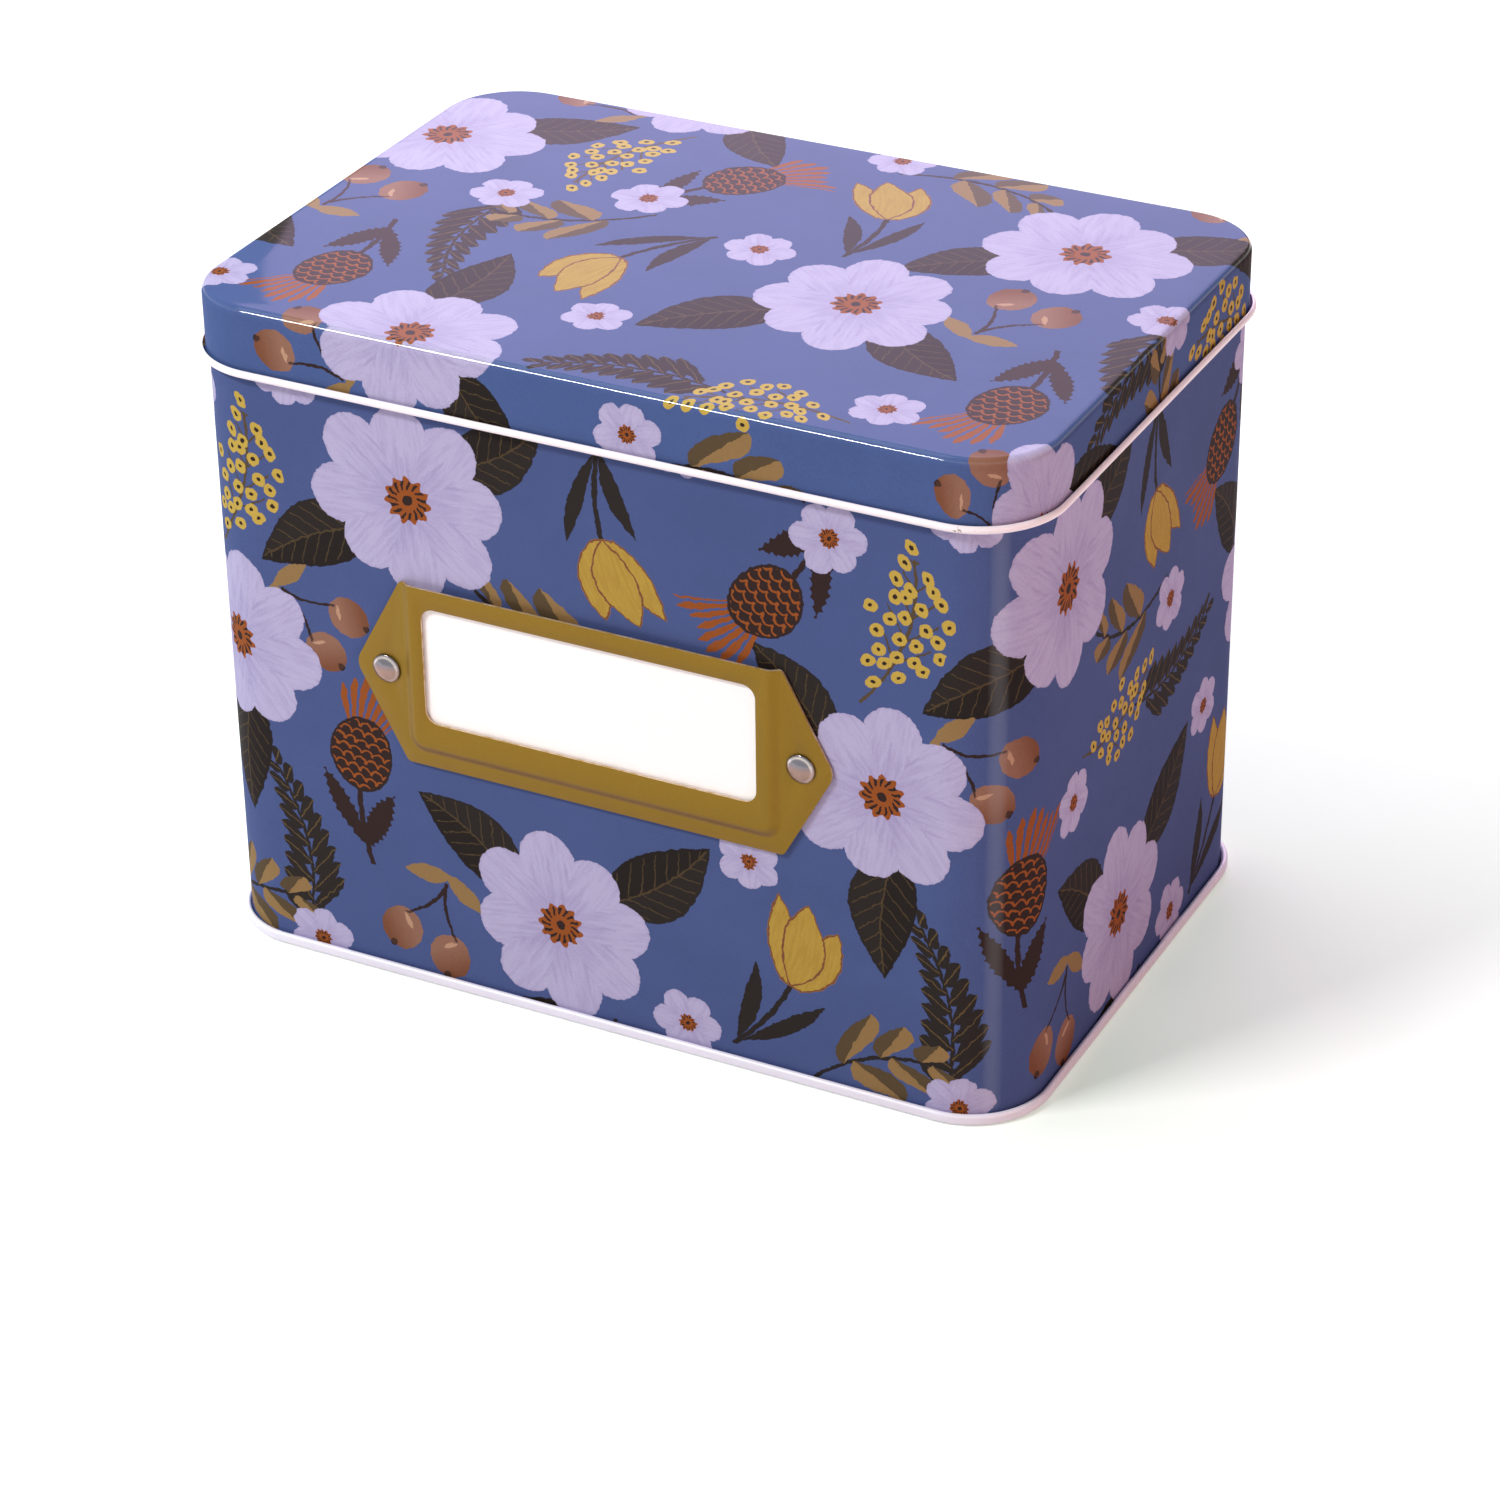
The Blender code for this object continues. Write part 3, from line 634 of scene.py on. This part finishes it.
parts = r.use(leaf, Place=nearest(LEAF_PLACES))
colour = printed_over(colour, parts, Leaf=r.over(parts["Half"], LEAF_DARK, LEAF_SHADE))
colour = r.over(r.times(parts["Vein"], 0.55), colour, LEAF_VEIN)
covered = r.largest(covered, parts["Leaf"])
parts = r.use(spray, Place=nearest(SPRAY_PLACES))
colour = printed_over(colour, parts, Twig=OLIVE, Berry=MUSTARD, Eye=BROWN)
covered = r.largest(covered, parts["Berry"], parts["Twig"])
parts = r.use(cherries, Place=nearest(FRUIT_PLACES))
skin = r.over(parts["Light"], r.over(parts["Shade"], TAN, TAN_DEEP), TAN_LIGHT)
colour = printed_over(colour, parts, Leaf=OLIVE_LIGHT, Stalk=BROWN, Fruit=skin)
colour = r.over(r.times(parts["Stalk"], 0.8), colour, BROWN)
covered = r.largest(covered, parts["Fruit"], parts["Leaf"])
parts = r.use(thistle, Place=nearest(THISTLE_PLACES))
colour = printed_over(colour, parts, Tuft=RUST, Dark=BROWN, Scales=RUST)
covered = r.largest(covered, parts["Dark"], parts["Tuft"])
parts = r.use(tulip, Place=nearest(TULIP_PLACES))
colour = printed_over(colour, parts, Stalk=LEAF_DARK, Cup=r.over(parts["Streak"], MUSTARD_DEEP, MUSTARD))
colour = r.over(r.times(parts["Line"], parts["Cup"]), colour, TAN_DEEP)
covered = r.largest(covered, parts["Cup"], parts["Stalk"])
for places, petals, reach, width, heart in (
    (SMALL_BLOSSOM_PLACES, 6.0, 7.2, 2.6, 1.7),
    (DAISY_PLACES, 8.0, 19.5, 5.9, 4.2),
):
    parts = r.use(blossom, Place=nearest(places), Petals=petals, Reach=reach, Petal_Width=width, Heart=heart)
    colour = printed_over(colour, parts, Petal=r.over(parts["Tone"], LILAC, LILAC_SHADE))
    colour = r.over(r.times(parts["Vein"], parts["Petal"], 0.35), colour, LILAC_SHADE)
    colour = r.over(parts["Heart"], colour, RUST)
    colour = r.over(r.times(parts["Stamens"], parts["Heart"]), colour, BROWN)
    covered = r.largest(covered, parts["Petal"])
r.give(Color=colour, Ink=covered)

# The lacquer's skin: a fine orange-peel grain, and the sheet's own slow waves
GRAIN_HEIGHT = 0.00001
WAVE_HEIGHT = 0.00035

lacquer_skin, r, entry = effect("Lacquer Skin", ("Height", "Speckle"), Grain_Size=0.0004, Grain=1.0)
grain = r.noise(entry["Place"], r.ratio(1.0, entry["Grain Size"]), 2.0, 0.6)
waves = r.noise(entry["Place"], 22.0, 1.0, 0.5)
height = r.plus(r.times(grain, entry["Grain"], GRAIN_HEIGHT), r.times(waves, WAVE_HEIGHT))
r.give(Height=height, Speckle=grain)

# Wear: small chips where patches and crumbs meet, and faint scuffs along the sides
chips, r, entry = effect("Chips", ("Chip", "Scuff"), Amount=0.5)
patch = r.noise(entry["Place"], 95.0, 1.0)
crumb = r.noise(entry["Place"], 950.0, 3.0, 0.6)
flake = r.ramp(r.plus(patch, crumb), 0.75, r.ramp(entry["Amount"], 0.1, -1.08))
r.give(Chip=r.ramp(flake, 40.0, 0.0, clamp=True))
streaked = r.noise(r.vector("MULTIPLY", entry["Place"], (180.0, 900.0, 900.0)), 1.0, 3.0, 0.7)
r.give(Scuff=r.ramp(streaked, 5.0, -3.1, clamp=True))


def finish(name):
    """A material, a recipe for its shader, and the place on the piece."""
    material = bpy.data.materials.new(name)
    material.use_nodes = True
    recipe = Recipe(material.node_tree, material.node_tree.nodes["Principled BSDF"].inputs)
    return material, recipe, recipe.node("TexCoord", output="Object")


# The clear coat: thin on the sides, fuller above the polished line, and rubbed glossy along one corner
PRINT_TOP = 0.1275
THIN_COAT = 0.09
TOP_COAT = 0.19
POLISHED_WIDTH, LINE_REACH = 0.00012, 1.7
RUBBED_AT = radians(39.5)
RUBBED_WIDTH = radians(8.0)


def printed_lacquer(name, blues, polished, turn=0, shift=(0, 0, 0), print_top=None, rubbed_width=None):
    """Printed tinplate: the design, white above where it ends, under a clear coat that hands polish at one height.

    The coat is also rubbed glossy down the front right corner, over some width."""
    material, r, spot = finish(name)
    print_map = r.node("UVMap", uv_map="Print")
    turned = r.node("VectorRotate", print_map, None, None, radians(turn), rotation_type="Z_AXIS")
    place = r.vector("ADD", turned, shift)
    design = r.use(botanical_print, Place=place, Ground=blues[0], Ground_Deep=blues[1])
    skin = r.use(lacquer_skin, Place=spot)
    wear = r.use(chips, Place=spot)
    colour = design["Color"]
    if print_top:
        above = r.above(r.part(print_map, "Y"), print_top)
        colour = r.over(above, colour, WHITE_COAT)
    grey = r.node("CombineColor", *[r.ramp(skin["Speckle"], 0.24, 0.88)] * 3)
    r.give(Base_Color=r.over(1.0, colour, grey, blend_type="MULTIPLY"))
    rough = r.ramp(design["Ink"], 0.03, r.ramp(wear["Scuff"], 0.06, 0.30))
    r.give(Roughness=r.ramp(skin["Speckle"], 0.05, rough))
    r.emboss(skin["Height"])
    r.give(Specular_IOR_Level=0.0)
    above = r.ratio(r.minus(r.part(spot, "Z"), polished), POLISHED_WIDTH)
    line = r.minus(LINE_REACH, r.size(above), clamp=True)
    gloss = r.largest(line, r.times(r.above(above, 0.0), TOP_COAT), THIN_COAT)
    if rubbed_width:
        facing = r.node("TexCoord", output="Normal")
        facing = r.vector("DOT_PRODUCT", facing, (sin(RUBBED_AT), -cos(RUBBED_AT), 0.0))
        steepness = 1.0 / (1.0 - cos(rubbed_width))
        gloss = r.largest(gloss, r.ramp(facing, steepness, 1.0 - steepness, clamp=True))
    r.give(Coat_Weight=gloss, Coat_Roughness=0.05)
    return material


def plain_lacquer(name, light, dull):
    """Tinplate lacquered in one pale colour, faintly mottled, with a few small chips."""
    material, r, spot = finish(name)
    skin = r.use(lacquer_skin, Place=spot, Grain_Size=0.0006, Grain=1.3)
    wear = r.use(chips, Place=spot, Amount=0.1)
    mottle = r.noise(spot, 60.0, 3.0)
    r.give(Base_Color=r.over(wear["Chip"], r.over(mottle, light, dull), ink("A89F97")))
    r.give(Roughness=r.ramp(wear["Chip"], 0.25, r.ramp(skin["Speckle"], 0.08, 0.27)))
    r.emboss(skin["Height"])
    return material


wall_finish = printed_lacquer(
    "printed_wall_lacquer", WALL_BLUES, polished=RIM_TOP, print_top=PRINT_TOP, rubbed_width=RUBBED_WIDTH,
)
white_lacquer = plain_lacquer("white_lacquer", WHITE_COAT, WHITE_DULL)
printed_wall = make_sheet("printed_wall", bm, SHEET, wall_finish, white_lacquer)
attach(printed_wall, "body")
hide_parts("body_wall")

# Base. A shallow pressed tray of tinplate in a lilac-white lacquer: its panel stands above the table, and its edge is
# rolled up round the wall's flange into the pale bead that the tin stands on.
BASE_RECESS = 0.0026
PANEL_BEND = 0.0008
BASE_FOLD_STEPS = 8
ROLL_STEPS = 14
base_z = SHEET / 2 + BASE_RECESS
inside = wall_out - LEAF
base_section = arc((inside - PANEL_BEND, base_z - PANEL_BEND), PANEL_BEND, pi / 2, 0, BASE_FOLD_STEPS)
base_section += arc((seam_in, seam_bend_up), SEAM_TURN + LEAF, pi, 3 * pi / 2, BASE_FOLD_STEPS)
base_section += arc((seam_out, seam_bend_up), SEAM_TURN + LEAF, 3 * pi / 2, 2 * pi, BASE_FOLD_STEPS)
outside = seam_out + SEAM_TURN + LEAF
base_section += arc((outside - LEAF, SEAM_TOP - SHEET / 2 - LEAF), LEAF, 0, pi, ROLL_STEPS)
base_section.append((outside - 2 * LEAF, seam_bend_up))
rows = [ring_round_body(*point) for point in base_section]
places = [[(point.x, point.y) for point in row] for row in rows]
bm, verts = sheet(rows, places, closed=True)
base_lacquer = plain_lacquer("base_lacquer", ink("E8E9F5"), ink("DFE1F0"))
base_tray = make_sheet("base_tray", bm, SHEET, base_lacquer, base_lacquer)
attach(base_tray, "body")
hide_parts("base_panel")

# Label holder. A frame stamped from thin steel and sprayed gold, six-sided, with a window and a panel pressed forward
# to leave a pocket that is open at the top. Two rivets fix it to the front wall.
HOLDER_LENGTH = 0.0966
HOLDER_EDGE = 0.0765
HOLDER_HEIGHT = 0.0371
HOLDER_MIDDLE = 0.0662
HOLDER_SHEET = 0.00045
HOLDER_TIP = 0.0038
HOLDER_CORNER = 0.0012
PANEL_WIDTH = 0.0761
PANEL_FLOOR = 0.0025
PANEL_CORNER = 0.0014
PANEL_RAISE = 0.0010
STEP_WIDTH = 0.0024
WINDOW_WIDTH = 0.0670
WINDOW_HEIGHT = 0.0236
WINDOW_MARGIN = 0.0038
WINDOW_CORNER = 0.0026
RIVET_SPACING = 0.0836
RIVET_HOLE = 0.0015
OUTLINE_STEPS = 10
HOLE_STEPS = 32
PRESS_ROWS = 12
PRESS_STEPS = 8
DEBURRING = 0.00009
ROUND_EDGE_ANGLE = 0.9
holder_back = -BODY_DEPTH / 2 - SEAT_GAP
holder_front = holder_back - HOLDER_SHEET
holder_top = HOLDER_MIDDLE + HOLDER_HEIGHT / 2
holder_low = HOLDER_MIDDLE - HOLDER_HEIGHT / 2
step_low = holder_low + PANEL_FLOOR
past_top = holder_top + 0.002


def rounded_outline(corners, steps):
    """A closed outline through corners given as (x, z, radius), each rounded by its own radius."""
    points = []
    for i, (x, z, radius) in enumerate(corners):
        here = Vector((x, z))
        before = (Vector(corners[i - 1][:2]) - here).normalized()
        after = (Vector(corners[(i + 1) % len(corners)][:2]) - here).normalized()
        half_angle = before.angle(after) / 2
        centre = here + (before + after).normalized() * radius / sin(half_angle)
        reach = radius / tan(half_angle)
        first, last = here + before * reach - centre, here + after * reach - centre
        start = atan2(first.y, first.x)
        turn = (atan2(last.y, last.x) - start + pi) % (2 * pi) - pi
        points += arc(centre, radius, start, start + turn, steps)
    return points


def is_inside(point, outline):
    """Whether a point lies inside a closed outline, by counting the edges to its right."""
    crossings = 0
    for (x0, z0), (x1, z1) in zip(outline, outline[1:] + outline[:1]):
        if (z0 > point.y) != (z1 > point.y) and point.x < x0 + (x1 - x0) * (point.y - z0) / (z1 - z0):
            crossings += 1
    return crossings % 2 == 1


def pressed_forward(x, z):
    """How far the press moves a point of the blank: nothing on the flange, the whole raise on the panel."""
    radius = PANEL_CORNER + STEP_WIDTH
    across = abs(x) - (PANEL_WIDTH / 2 - radius)
    down = step_low + radius - z
    depth = radius - hypot(max(across, 0), max(down, 0)) - min(max(across, down), 0)
    return PANEL_RAISE * (1 - cos(pi * min(max(depth / STEP_WIDTH, 0), 1))) / 2


tip, end_x = HOLDER_LENGTH / 2, HOLDER_EDGE / 2
edge = rounded_outline(
    (
        (-tip, HOLDER_MIDDLE, HOLDER_TIP), (-end_x, holder_low, HOLDER_CORNER), (end_x, holder_low, HOLDER_CORNER),
        (tip, HOLDER_MIDDLE, HOLDER_TIP), (end_x, holder_top, HOLDER_CORNER), (-end_x, holder_top, HOLDER_CORNER),
    ),
    OUTLINE_STEPS,
)
side, window_top = WINDOW_WIDTH / 2, holder_top - WINDOW_MARGIN
window_low = window_top - WINDOW_HEIGHT
window_corners = ((-side, window_low), (side, window_low), (side, window_top), (-side, window_top))
window = rounded_outline([(x, z, WINDOW_CORNER) for x, z in window_corners], OUTLINE_STEPS)
last_angle = 2 * pi * (HOLE_STEPS - 1) / HOLE_STEPS
holes = [arc((s * RIVET_SPACING / 2, HOLDER_MIDDLE), RIVET_HOLE, 0, last_angle, HOLE_STEPS - 1) for s in (-1, 1)]
points, lines = [], []
for outline in (edge, window, *holes):
    first = len(points)
    points += outline
    lines += [(first + i, first + (i + 1) % len(outline)) for i in range(len(outline))]
for i in range(PRESS_ROWS + 1):
    inset = i / PRESS_ROWS * STEP_WIDTH
    beside = PANEL_WIDTH / 2 - inset
    radius = PANEL_CORNER + STEP_WIDTH - inset
    low = step_low + inset + radius
    line = [(-beside, past_top), *arc((radius - beside, low), radius, pi, 3 * pi / 2, PRESS_STEPS)]
    line += [*arc((beside - radius, low), radius, 3 * pi / 2, 2 * pi, PRESS_STEPS), (beside, past_top)]
    first = len(points)
    points += line
    lines += [(first + k, first + k + 1) for k in range(len(line) - 1)]
flat, _, triangles, *_ = delaunay_2d_cdt([Vector(point) for point in points], lines, [], 0, 1e-7)
bm = bmesh.new()
verts = [bm.verts.new((x, holder_back - HOLDER_SHEET / 2 - pressed_forward(x, z), z)) for x, z in flat]
for triangle in triangles:
    middle = sum((flat[i] for i in triangle), Vector((0, 0))) / 3
    if is_inside(middle, edge) and not any(is_inside(middle, outline) for outline in (window, *holes)):
        bm.faces.new([verts[i] for i in triangle])
bmesh.ops.delete(bm, geom=[vert for vert in bm.verts if not vert.link_faces], context="VERTS")

gold_paint, r, spot = finish("gold_paint")
flakes = r.noise(spot, 5200.0, 2.0, 0.6)
cloud = r.noise(spot, 140.0, 3.0, 0.6)
colour = r.over(flakes, ink("775D19"), ink("927422"))
colour = r.over(r.ramp(cloud, 0.5, -0.1, clamp=True), colour, ink("81661D"))
# Painted shade: faces that look down, such as the pressed step below the panel, darken towards brown, broken up by
# noise
facing_down = r.times(r.part(r.node("TexCoord", output="Normal"), "Z"), -1.0)
painted_underside_shade = r.ramp(facing_down, 1.6, r.ramp(cloud, 0.5, -0.35), clamp=True)
r.give(Base_Color=r.over(r.times(painted_underside_shade, 0.7), colour, ink("7A5636")))
r.give(Metallic=r.ramp(flakes, 0.25, 0.35), Roughness=r.ramp(cloud, 0.12, 0.32), Specular_IOR_Level=0.25)
r.emboss(r.ramp(flakes, 0.000006, r.times(cloud, 0.00002)))

# Cut edges: the gold partly worn off to pale metal, and the pale colour also serves as a painted highlight along them
worn_and_highlit_edge, r, spot = finish("gold_worn_and_highlit_cut_edge")
rubbed = r.ramp(r.noise(spot, 420.0, 3.0, 0.6), 3.0, -1.0, clamp=True)
r.give(Base_Color=r.over(rubbed, ink("A9884A"), ink("E3D2BC")))
r.give(Metallic=r.ramp(rubbed, 0.3, 0.35), Roughness=r.ramp(rubbed, -0.1, 0.40))
r.emboss(r.times(rubbed, 0.00001))
holder_plate = make_sheet("holder_plate", bm, HOLDER_SHEET, gold_paint, worn_and_highlit_edge)
bevel = holder_plate.modifiers.new("deburred_edge", "BEVEL")
bevel.width = DEBURRING
bevel.segments = 2
bevel.limit_method = "ANGLE"
bevel.angle_limit = radians(50)
settle(holder_plate, ROUND_EDGE_ANGLE)
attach(holder_plate, "body")
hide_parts("label_holder")

# Rivets. Nickel-plated tubular rivets with low domed heads, pushed through holder and wall and rolled over inside.
# Each head has a painted highlight in a ring near its edge, painted reflections that make its upper half greyer
# and its lower half pinker, and painted shade in a thin dark rim where it meets the paint.
HEAD_RADIUS = 0.0028
DOME_HEIGHT = 0.0010
HEAD_EDGE = 0.00025
HEAD_ROUND = 0.00018
HEAD_SINK = 0.00002
DOME_SHARE = 0.93
SHANK_RADIUS = 0.0012
TAIL_RADIUS = 0.0020
TAIL_HEIGHT = 0.0007
DIMPLE_RADIUS = 0.0006
DIMPLE_ROUND = 0.0004
RIM_SHADE_WIDTH = 0.00025
HIGHLIGHT_RING_INSET = 0.00045
HIGHLIGHT_RING_HALF_WIDTH = 0.0003
UPPER_BLEND = 0.0012
TURN_STEPS = 48
head_seat = holder_front - HEAD_SINK
ball = (HEAD_RADIUS**2 + DOME_HEIGHT**2) / (2 * DOME_HEIGHT)
ball_y = head_seat - HEAD_EDGE - DOME_HEIGHT + ball
spread = atan2(HEAD_RADIUS, ball - DOME_HEIGHT)
profile = [(0, ball_y - ball), *arc((0, ball_y), ball, -pi / 2, spread * DOME_SHARE - pi / 2, 12)[1:]]
profile += arc((HEAD_RADIUS - HEAD_ROUND, head_seat - HEAD_ROUND), HEAD_ROUND, -pi / 3, pi / 2, 6)
tail_seat = -BODY_DEPTH / 2 + SHEET + SEAT_GAP
tail_end = tail_seat + TAIL_HEIGHT
roll = TAIL_HEIGHT / 2
profile += [(SHANK_RADIUS, head_seat), (SHANK_RADIUS, tail_seat)]
profile += arc((TAIL_RADIUS - roll, tail_seat + roll), roll, -pi / 2, pi / 2, 10)
profile += arc((2 * DIMPLE_RADIUS, tail_end - DIMPLE_ROUND), DIMPLE_ROUND, pi / 2, pi, 5)
profile.append((0, tail_end - DIMPLE_ROUND))

nickel, r, spot = finish("nickel_plate")
rubs = r.noise(r.vector("MULTIPLY", spot, (900.0, 900.0, 7000.0)), 1.0, 3.0, 0.6)
haze = r.noise(spot, 900.0, 2.0)
beside = r.minus(r.size(r.part(spot, "X")), RIVET_SPACING / 2)
above = r.minus(r.part(spot, "Z"), HOLDER_MIDDLE)
from_axis = r.span(beside, above)
# Painted shade: the head turns dark brown in a thin rim where it meets the holder
painted_rim_shade = r.ramp(from_axis, 1 / RIM_SHADE_WIDTH, 0.9 - HEAD_RADIUS / RIM_SHADE_WIDTH, clamp=True)
# Painted highlight: a pale ring just inside the head's edge, stronger on its upper half
from_highlight_ring = r.size(r.minus(from_axis, HEAD_RADIUS - HIGHLIGHT_RING_INSET))
painted_highlight_ring = r.ramp(from_highlight_ring, -1 / HIGHLIGHT_RING_HALF_WIDTH, 1.0, clamp=True)
# Painted reflections: the head's upper half greyer and bluer, its lower half pinker, blended across its middle
upper = r.ramp(above, 1 / UPPER_BLEND, 0.1, clamp=True)
plate = r.over(haze, ink("A98D81"), ink("8E766B"))
plate = r.over(upper, plate, r.over(haze, ink("727077"), ink("858288")))
plate = r.over(r.times(painted_highlight_ring, r.ramp(upper, 0.6, 0.3)), plate, ink("DDD3CC"))
r.give(Base_Color=r.over(r.times(painted_rim_shade, 0.8), plate, ink("4A4238")))
r.give(Metallic=1.0, Roughness=r.ramp(rubs, 0.12, 0.10))
r.emboss(r.times(rubs, 0.000008))
for side, name, node in ((-1, "rivet_head_left", "rivet_left"), (1, "rivet_head_right", "rivet_right")):
    bm = bmesh.new()
    verts = [bm.verts.new((side * RIVET_SPACING / 2 + radius, y, HOLDER_MIDDLE)) for radius, y in profile]
    edges = [bm.edges.new(pair) for pair in zip(verts, verts[1:])]
    axis_point = (side * RIVET_SPACING / 2, 0, HOLDER_MIDDLE)
    bmesh.ops.spin(bm, geom=verts + edges, cent=axis_point, axis=(0, 1, 0), angle=2 * pi, steps=TURN_STEPS)
    bmesh.ops.remove_doubles(bm, verts=bm.verts, dist=1e-7)
    bmesh.ops.recalc_face_normals(bm, faces=bm.faces)
    mesh = bpy.data.meshes.new(name)
    bm.to_mesh(mesh)
    bm.free()
    mesh.shade_smooth()
    mesh.set_sharp_from_angle(angle=ROUND_EDGE_ANGLE)
    mesh.materials.append(nickel)
    rivet = put_in_scene(name, mesh)
    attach(rivet, "body")
    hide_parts(node)

# Label card. A blank white card, cut with rounded corners, that slides into the holder's pocket from above. Its
# shape is already right in the solids, so it only gets its paper.
card_stock, r, spot = finish("card_stock")
fibres = r.noise(r.vector("MULTIPLY", spot, (1400.0, 1400.0, 3200.0)), 1.0, 4.0, 0.7)
cloud = r.noise(spot, 220.0, 2.0)
r.give(Base_Color=r.over(r.times(r.plus(fibres, cloud), 0.5), ink("FBFAF9"), ink("FFFFFF")))
r.give(Roughness=r.ramp(fibres, 0.1, 0.8))
r.emboss(r.times(fibres, 0.000015))
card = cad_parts["label_card"]
card.data.materials.clear()
card.data.materials.append(card_stock)

# Lid. Drawn from one sheet of tinplate with the same print, on a slightly bluer ground: flat top, small bend, skirt
# over the body, and an edge curled outwards so that its white inside shows as a bead. It has no hinge and lifts off.
LID_CLEARANCE = 0.00035
LID_BEND = 0.0016
SKIRT_DEPTH = 0.0131
LID_CURL = 0.00145
LID_FLARE = 0.00008
LID_BEND_STEPS = 10
CURL_START = 0.0008
CURL_SLACK = 0.00001
POLISHED_DROP = 0.00058
PRINT_SHIFT = (0.021, 0.012, 0)
skirt_out = LID_CLEARANCE + SHEET / 2
bend = LID_BEND - SHEET / 2
lid_section = arc((skirt_out - bend, TIN_HEIGHT - SHEET / 2 - bend), bend, pi / 2, 0, LID_BEND_STEPS)
curl = (LID_CURL - SHEET) / 2 - CURL_SLACK
curl_z = TIN_HEIGHT - SKIRT_DEPTH + LID_CURL / 2
lid_section.append((skirt_out, curl_z + CURL_START))
lid_section += arc((skirt_out + LID_FLARE + curl, curl_z), curl, pi, 5 * pi / 2, CURL_STEPS + 4)
rows = [ring_round_body(*point) for point in lid_section]
places = []
for length in lengths_along(lid_section):
    flat_ring = ring_round_body(lid_section[0][0] + length, 0)
    places.append([(point.x, point.y) for point in flat_ring])
bm, verts = sheet(rows, places, closed=True)
polished = TIN_HEIGHT - POLISHED_DROP
lid_finish = printed_lacquer("printed_lid_lacquer", LID_BLUES, polished, turn=180, shift=PRINT_SHIFT)
printed_lid = make_sheet("printed_lid", bm, SHEET, lid_finish, white_lacquer)
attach(printed_lid, "lid")
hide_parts("lid")

# Studio. A pale sweep of seamless paper under soft boxes from the front left and above. Two coloured cards, behind
# and to the right, tint the lid's sheen and the shaded side. The camera sees the paper white, apart from the tin's
# shadow, in which a greenish glow clears the cards' pink.
PAPER_REACH = 6
PLAIN_GLOW, FAR_GLOW, GLOW_STARTS = 0.16, 0.7, 0.45
SHADOW_CLEARING = (0.06, 0.17, 0.11)
ROOM_LIGHT = 0.22


def shown_rays(recipe):
    """One for what the camera sees, straight or in a mirror or through glass."""
    kinds = ("Is Camera Ray", "Is Glossy Ray", "Is Transmission Ray")
    return recipe.largest(*(recipe.node("LightPath", output=kind) for kind in kinds))


corners = [(-PAPER_REACH, -PAPER_REACH, 0), (PAPER_REACH, -PAPER_REACH, 0)]
corners += [(PAPER_REACH, PAPER_REACH, 0), (-PAPER_REACH, PAPER_REACH, 0)]
mesh = bpy.data.meshes.new("paper_sweep")
mesh.from_pydata(corners, [], [(0, 1, 2, 3)])
paper = put_in_scene("paper_sweep", mesh)
paper_finish, r, spot = finish("seamless_paper")
tooth = r.noise(spot, 900.0, 3.0)
r.give(Base_Color=r.over(tooth, ink("EDEBEA"), ink("F3F2F1")), Roughness=0.9, Specular_IOR_Level=0.1)
far = r.minus(r.vector("LENGTH", spot), GLOW_STARTS, clamp=True)
glow = r.times(shown_rays(r), r.ramp(far, FAR_GLOW, PLAIN_GLOW))
seen = r.node("LightPath", output="Is Camera Ray")
glow = r.node("CombineXYZ", *(r.ramp(seen, share, glow) for share in SHADOW_CLEARING))
r.give(Emission_Color=glow, Emission_Strength=1.0)
mesh.materials.append(paper_finish)

world = bpy.data.worlds.new("studio")
bpy.context.scene.world = world
world.use_nodes = True
air = Recipe(world.node_tree, world.node_tree.nodes["Background"].inputs)
air.give(Color=(1, 1, 1, 1), Strength=air.ramp(shown_rays(air), 1.0 - ROOM_LIGHT, ROOM_LIGHT))


def soft_lamp(name, place, aim_height, width, height, watts, colour):
    """A rectangular soft box that faces the tin's middle at some height."""
    lamp = bpy.data.lights.new(name, "AREA")
    lamp.shape = "RECTANGLE"
    lamp.size = width
    lamp.size_y = height
    lamp.energy = watts
    lamp.color = colour
    holder = put_in_scene(name, lamp)
    holder.location = place
    holder.rotation_euler = (Vector(place) - Vector((0, 0, aim_height))).to_track_quat("Z", "Y").to_euler()


soft_lamp("key_soft_box", (-0.66, -0.88, 1.17), 0.1, 0.5, 0.12, 16.5, (1.0, 0.99, 0.985))
soft_lamp("top_soft_box", (-0.6, 0.12, 1.36), 0.1, 1.1, 0.5, 9.6, (0.91, 1.0, 1.0))
soft_lamp("back_card", (-0.5, 1.8, 0.95), 0.1, 1.5, 1.2, 28.0, (0.95, 0.68, 1.0))
soft_lamp("side_card", (1.2, -0.45, 0.5), 0.06, 0.8, 0.8, 6.3, (1.0, 0.46, 0.38))

# Camera, fitted to the outline of the real tin in its photograph
AZIMUTH, ELEVATION, ROLL = radians(27.169), radians(30.073), radians(-0.758)
DISTANCE = 0.86574
TARGET = Vector((0.002757, 0, 0.030556))
FOCAL_PIXELS = 4536.5
IMAGE_PIXELS = 1500
SENSOR_WIDTH = 36
back = Vector((sin(AZIMUTH) * cos(ELEVATION), -cos(AZIMUTH) * cos(ELEVATION), sin(ELEVATION)))
right = Vector((cos(AZIMUTH), sin(AZIMUTH), 0))
up = back.cross(right)
right, up = right * cos(ROLL) + up * sin(ROLL), up * cos(ROLL) - right * sin(ROLL)
lens = bpy.data.cameras.new("camera")
lens.sensor_width = SENSOR_WIDTH
lens.lens = SENSOR_WIDTH * FOCAL_PIXELS / IMAGE_PIXELS
camera = put_in_scene("camera", lens)
camera.matrix_world = Matrix.Translation(TARGET + back * DISTANCE) @ Matrix((right, up, back)).transposed().to_4x4()
bpy.context.scene.camera = camera
bpy.context.scene.view_settings.view_transform = "Standard"
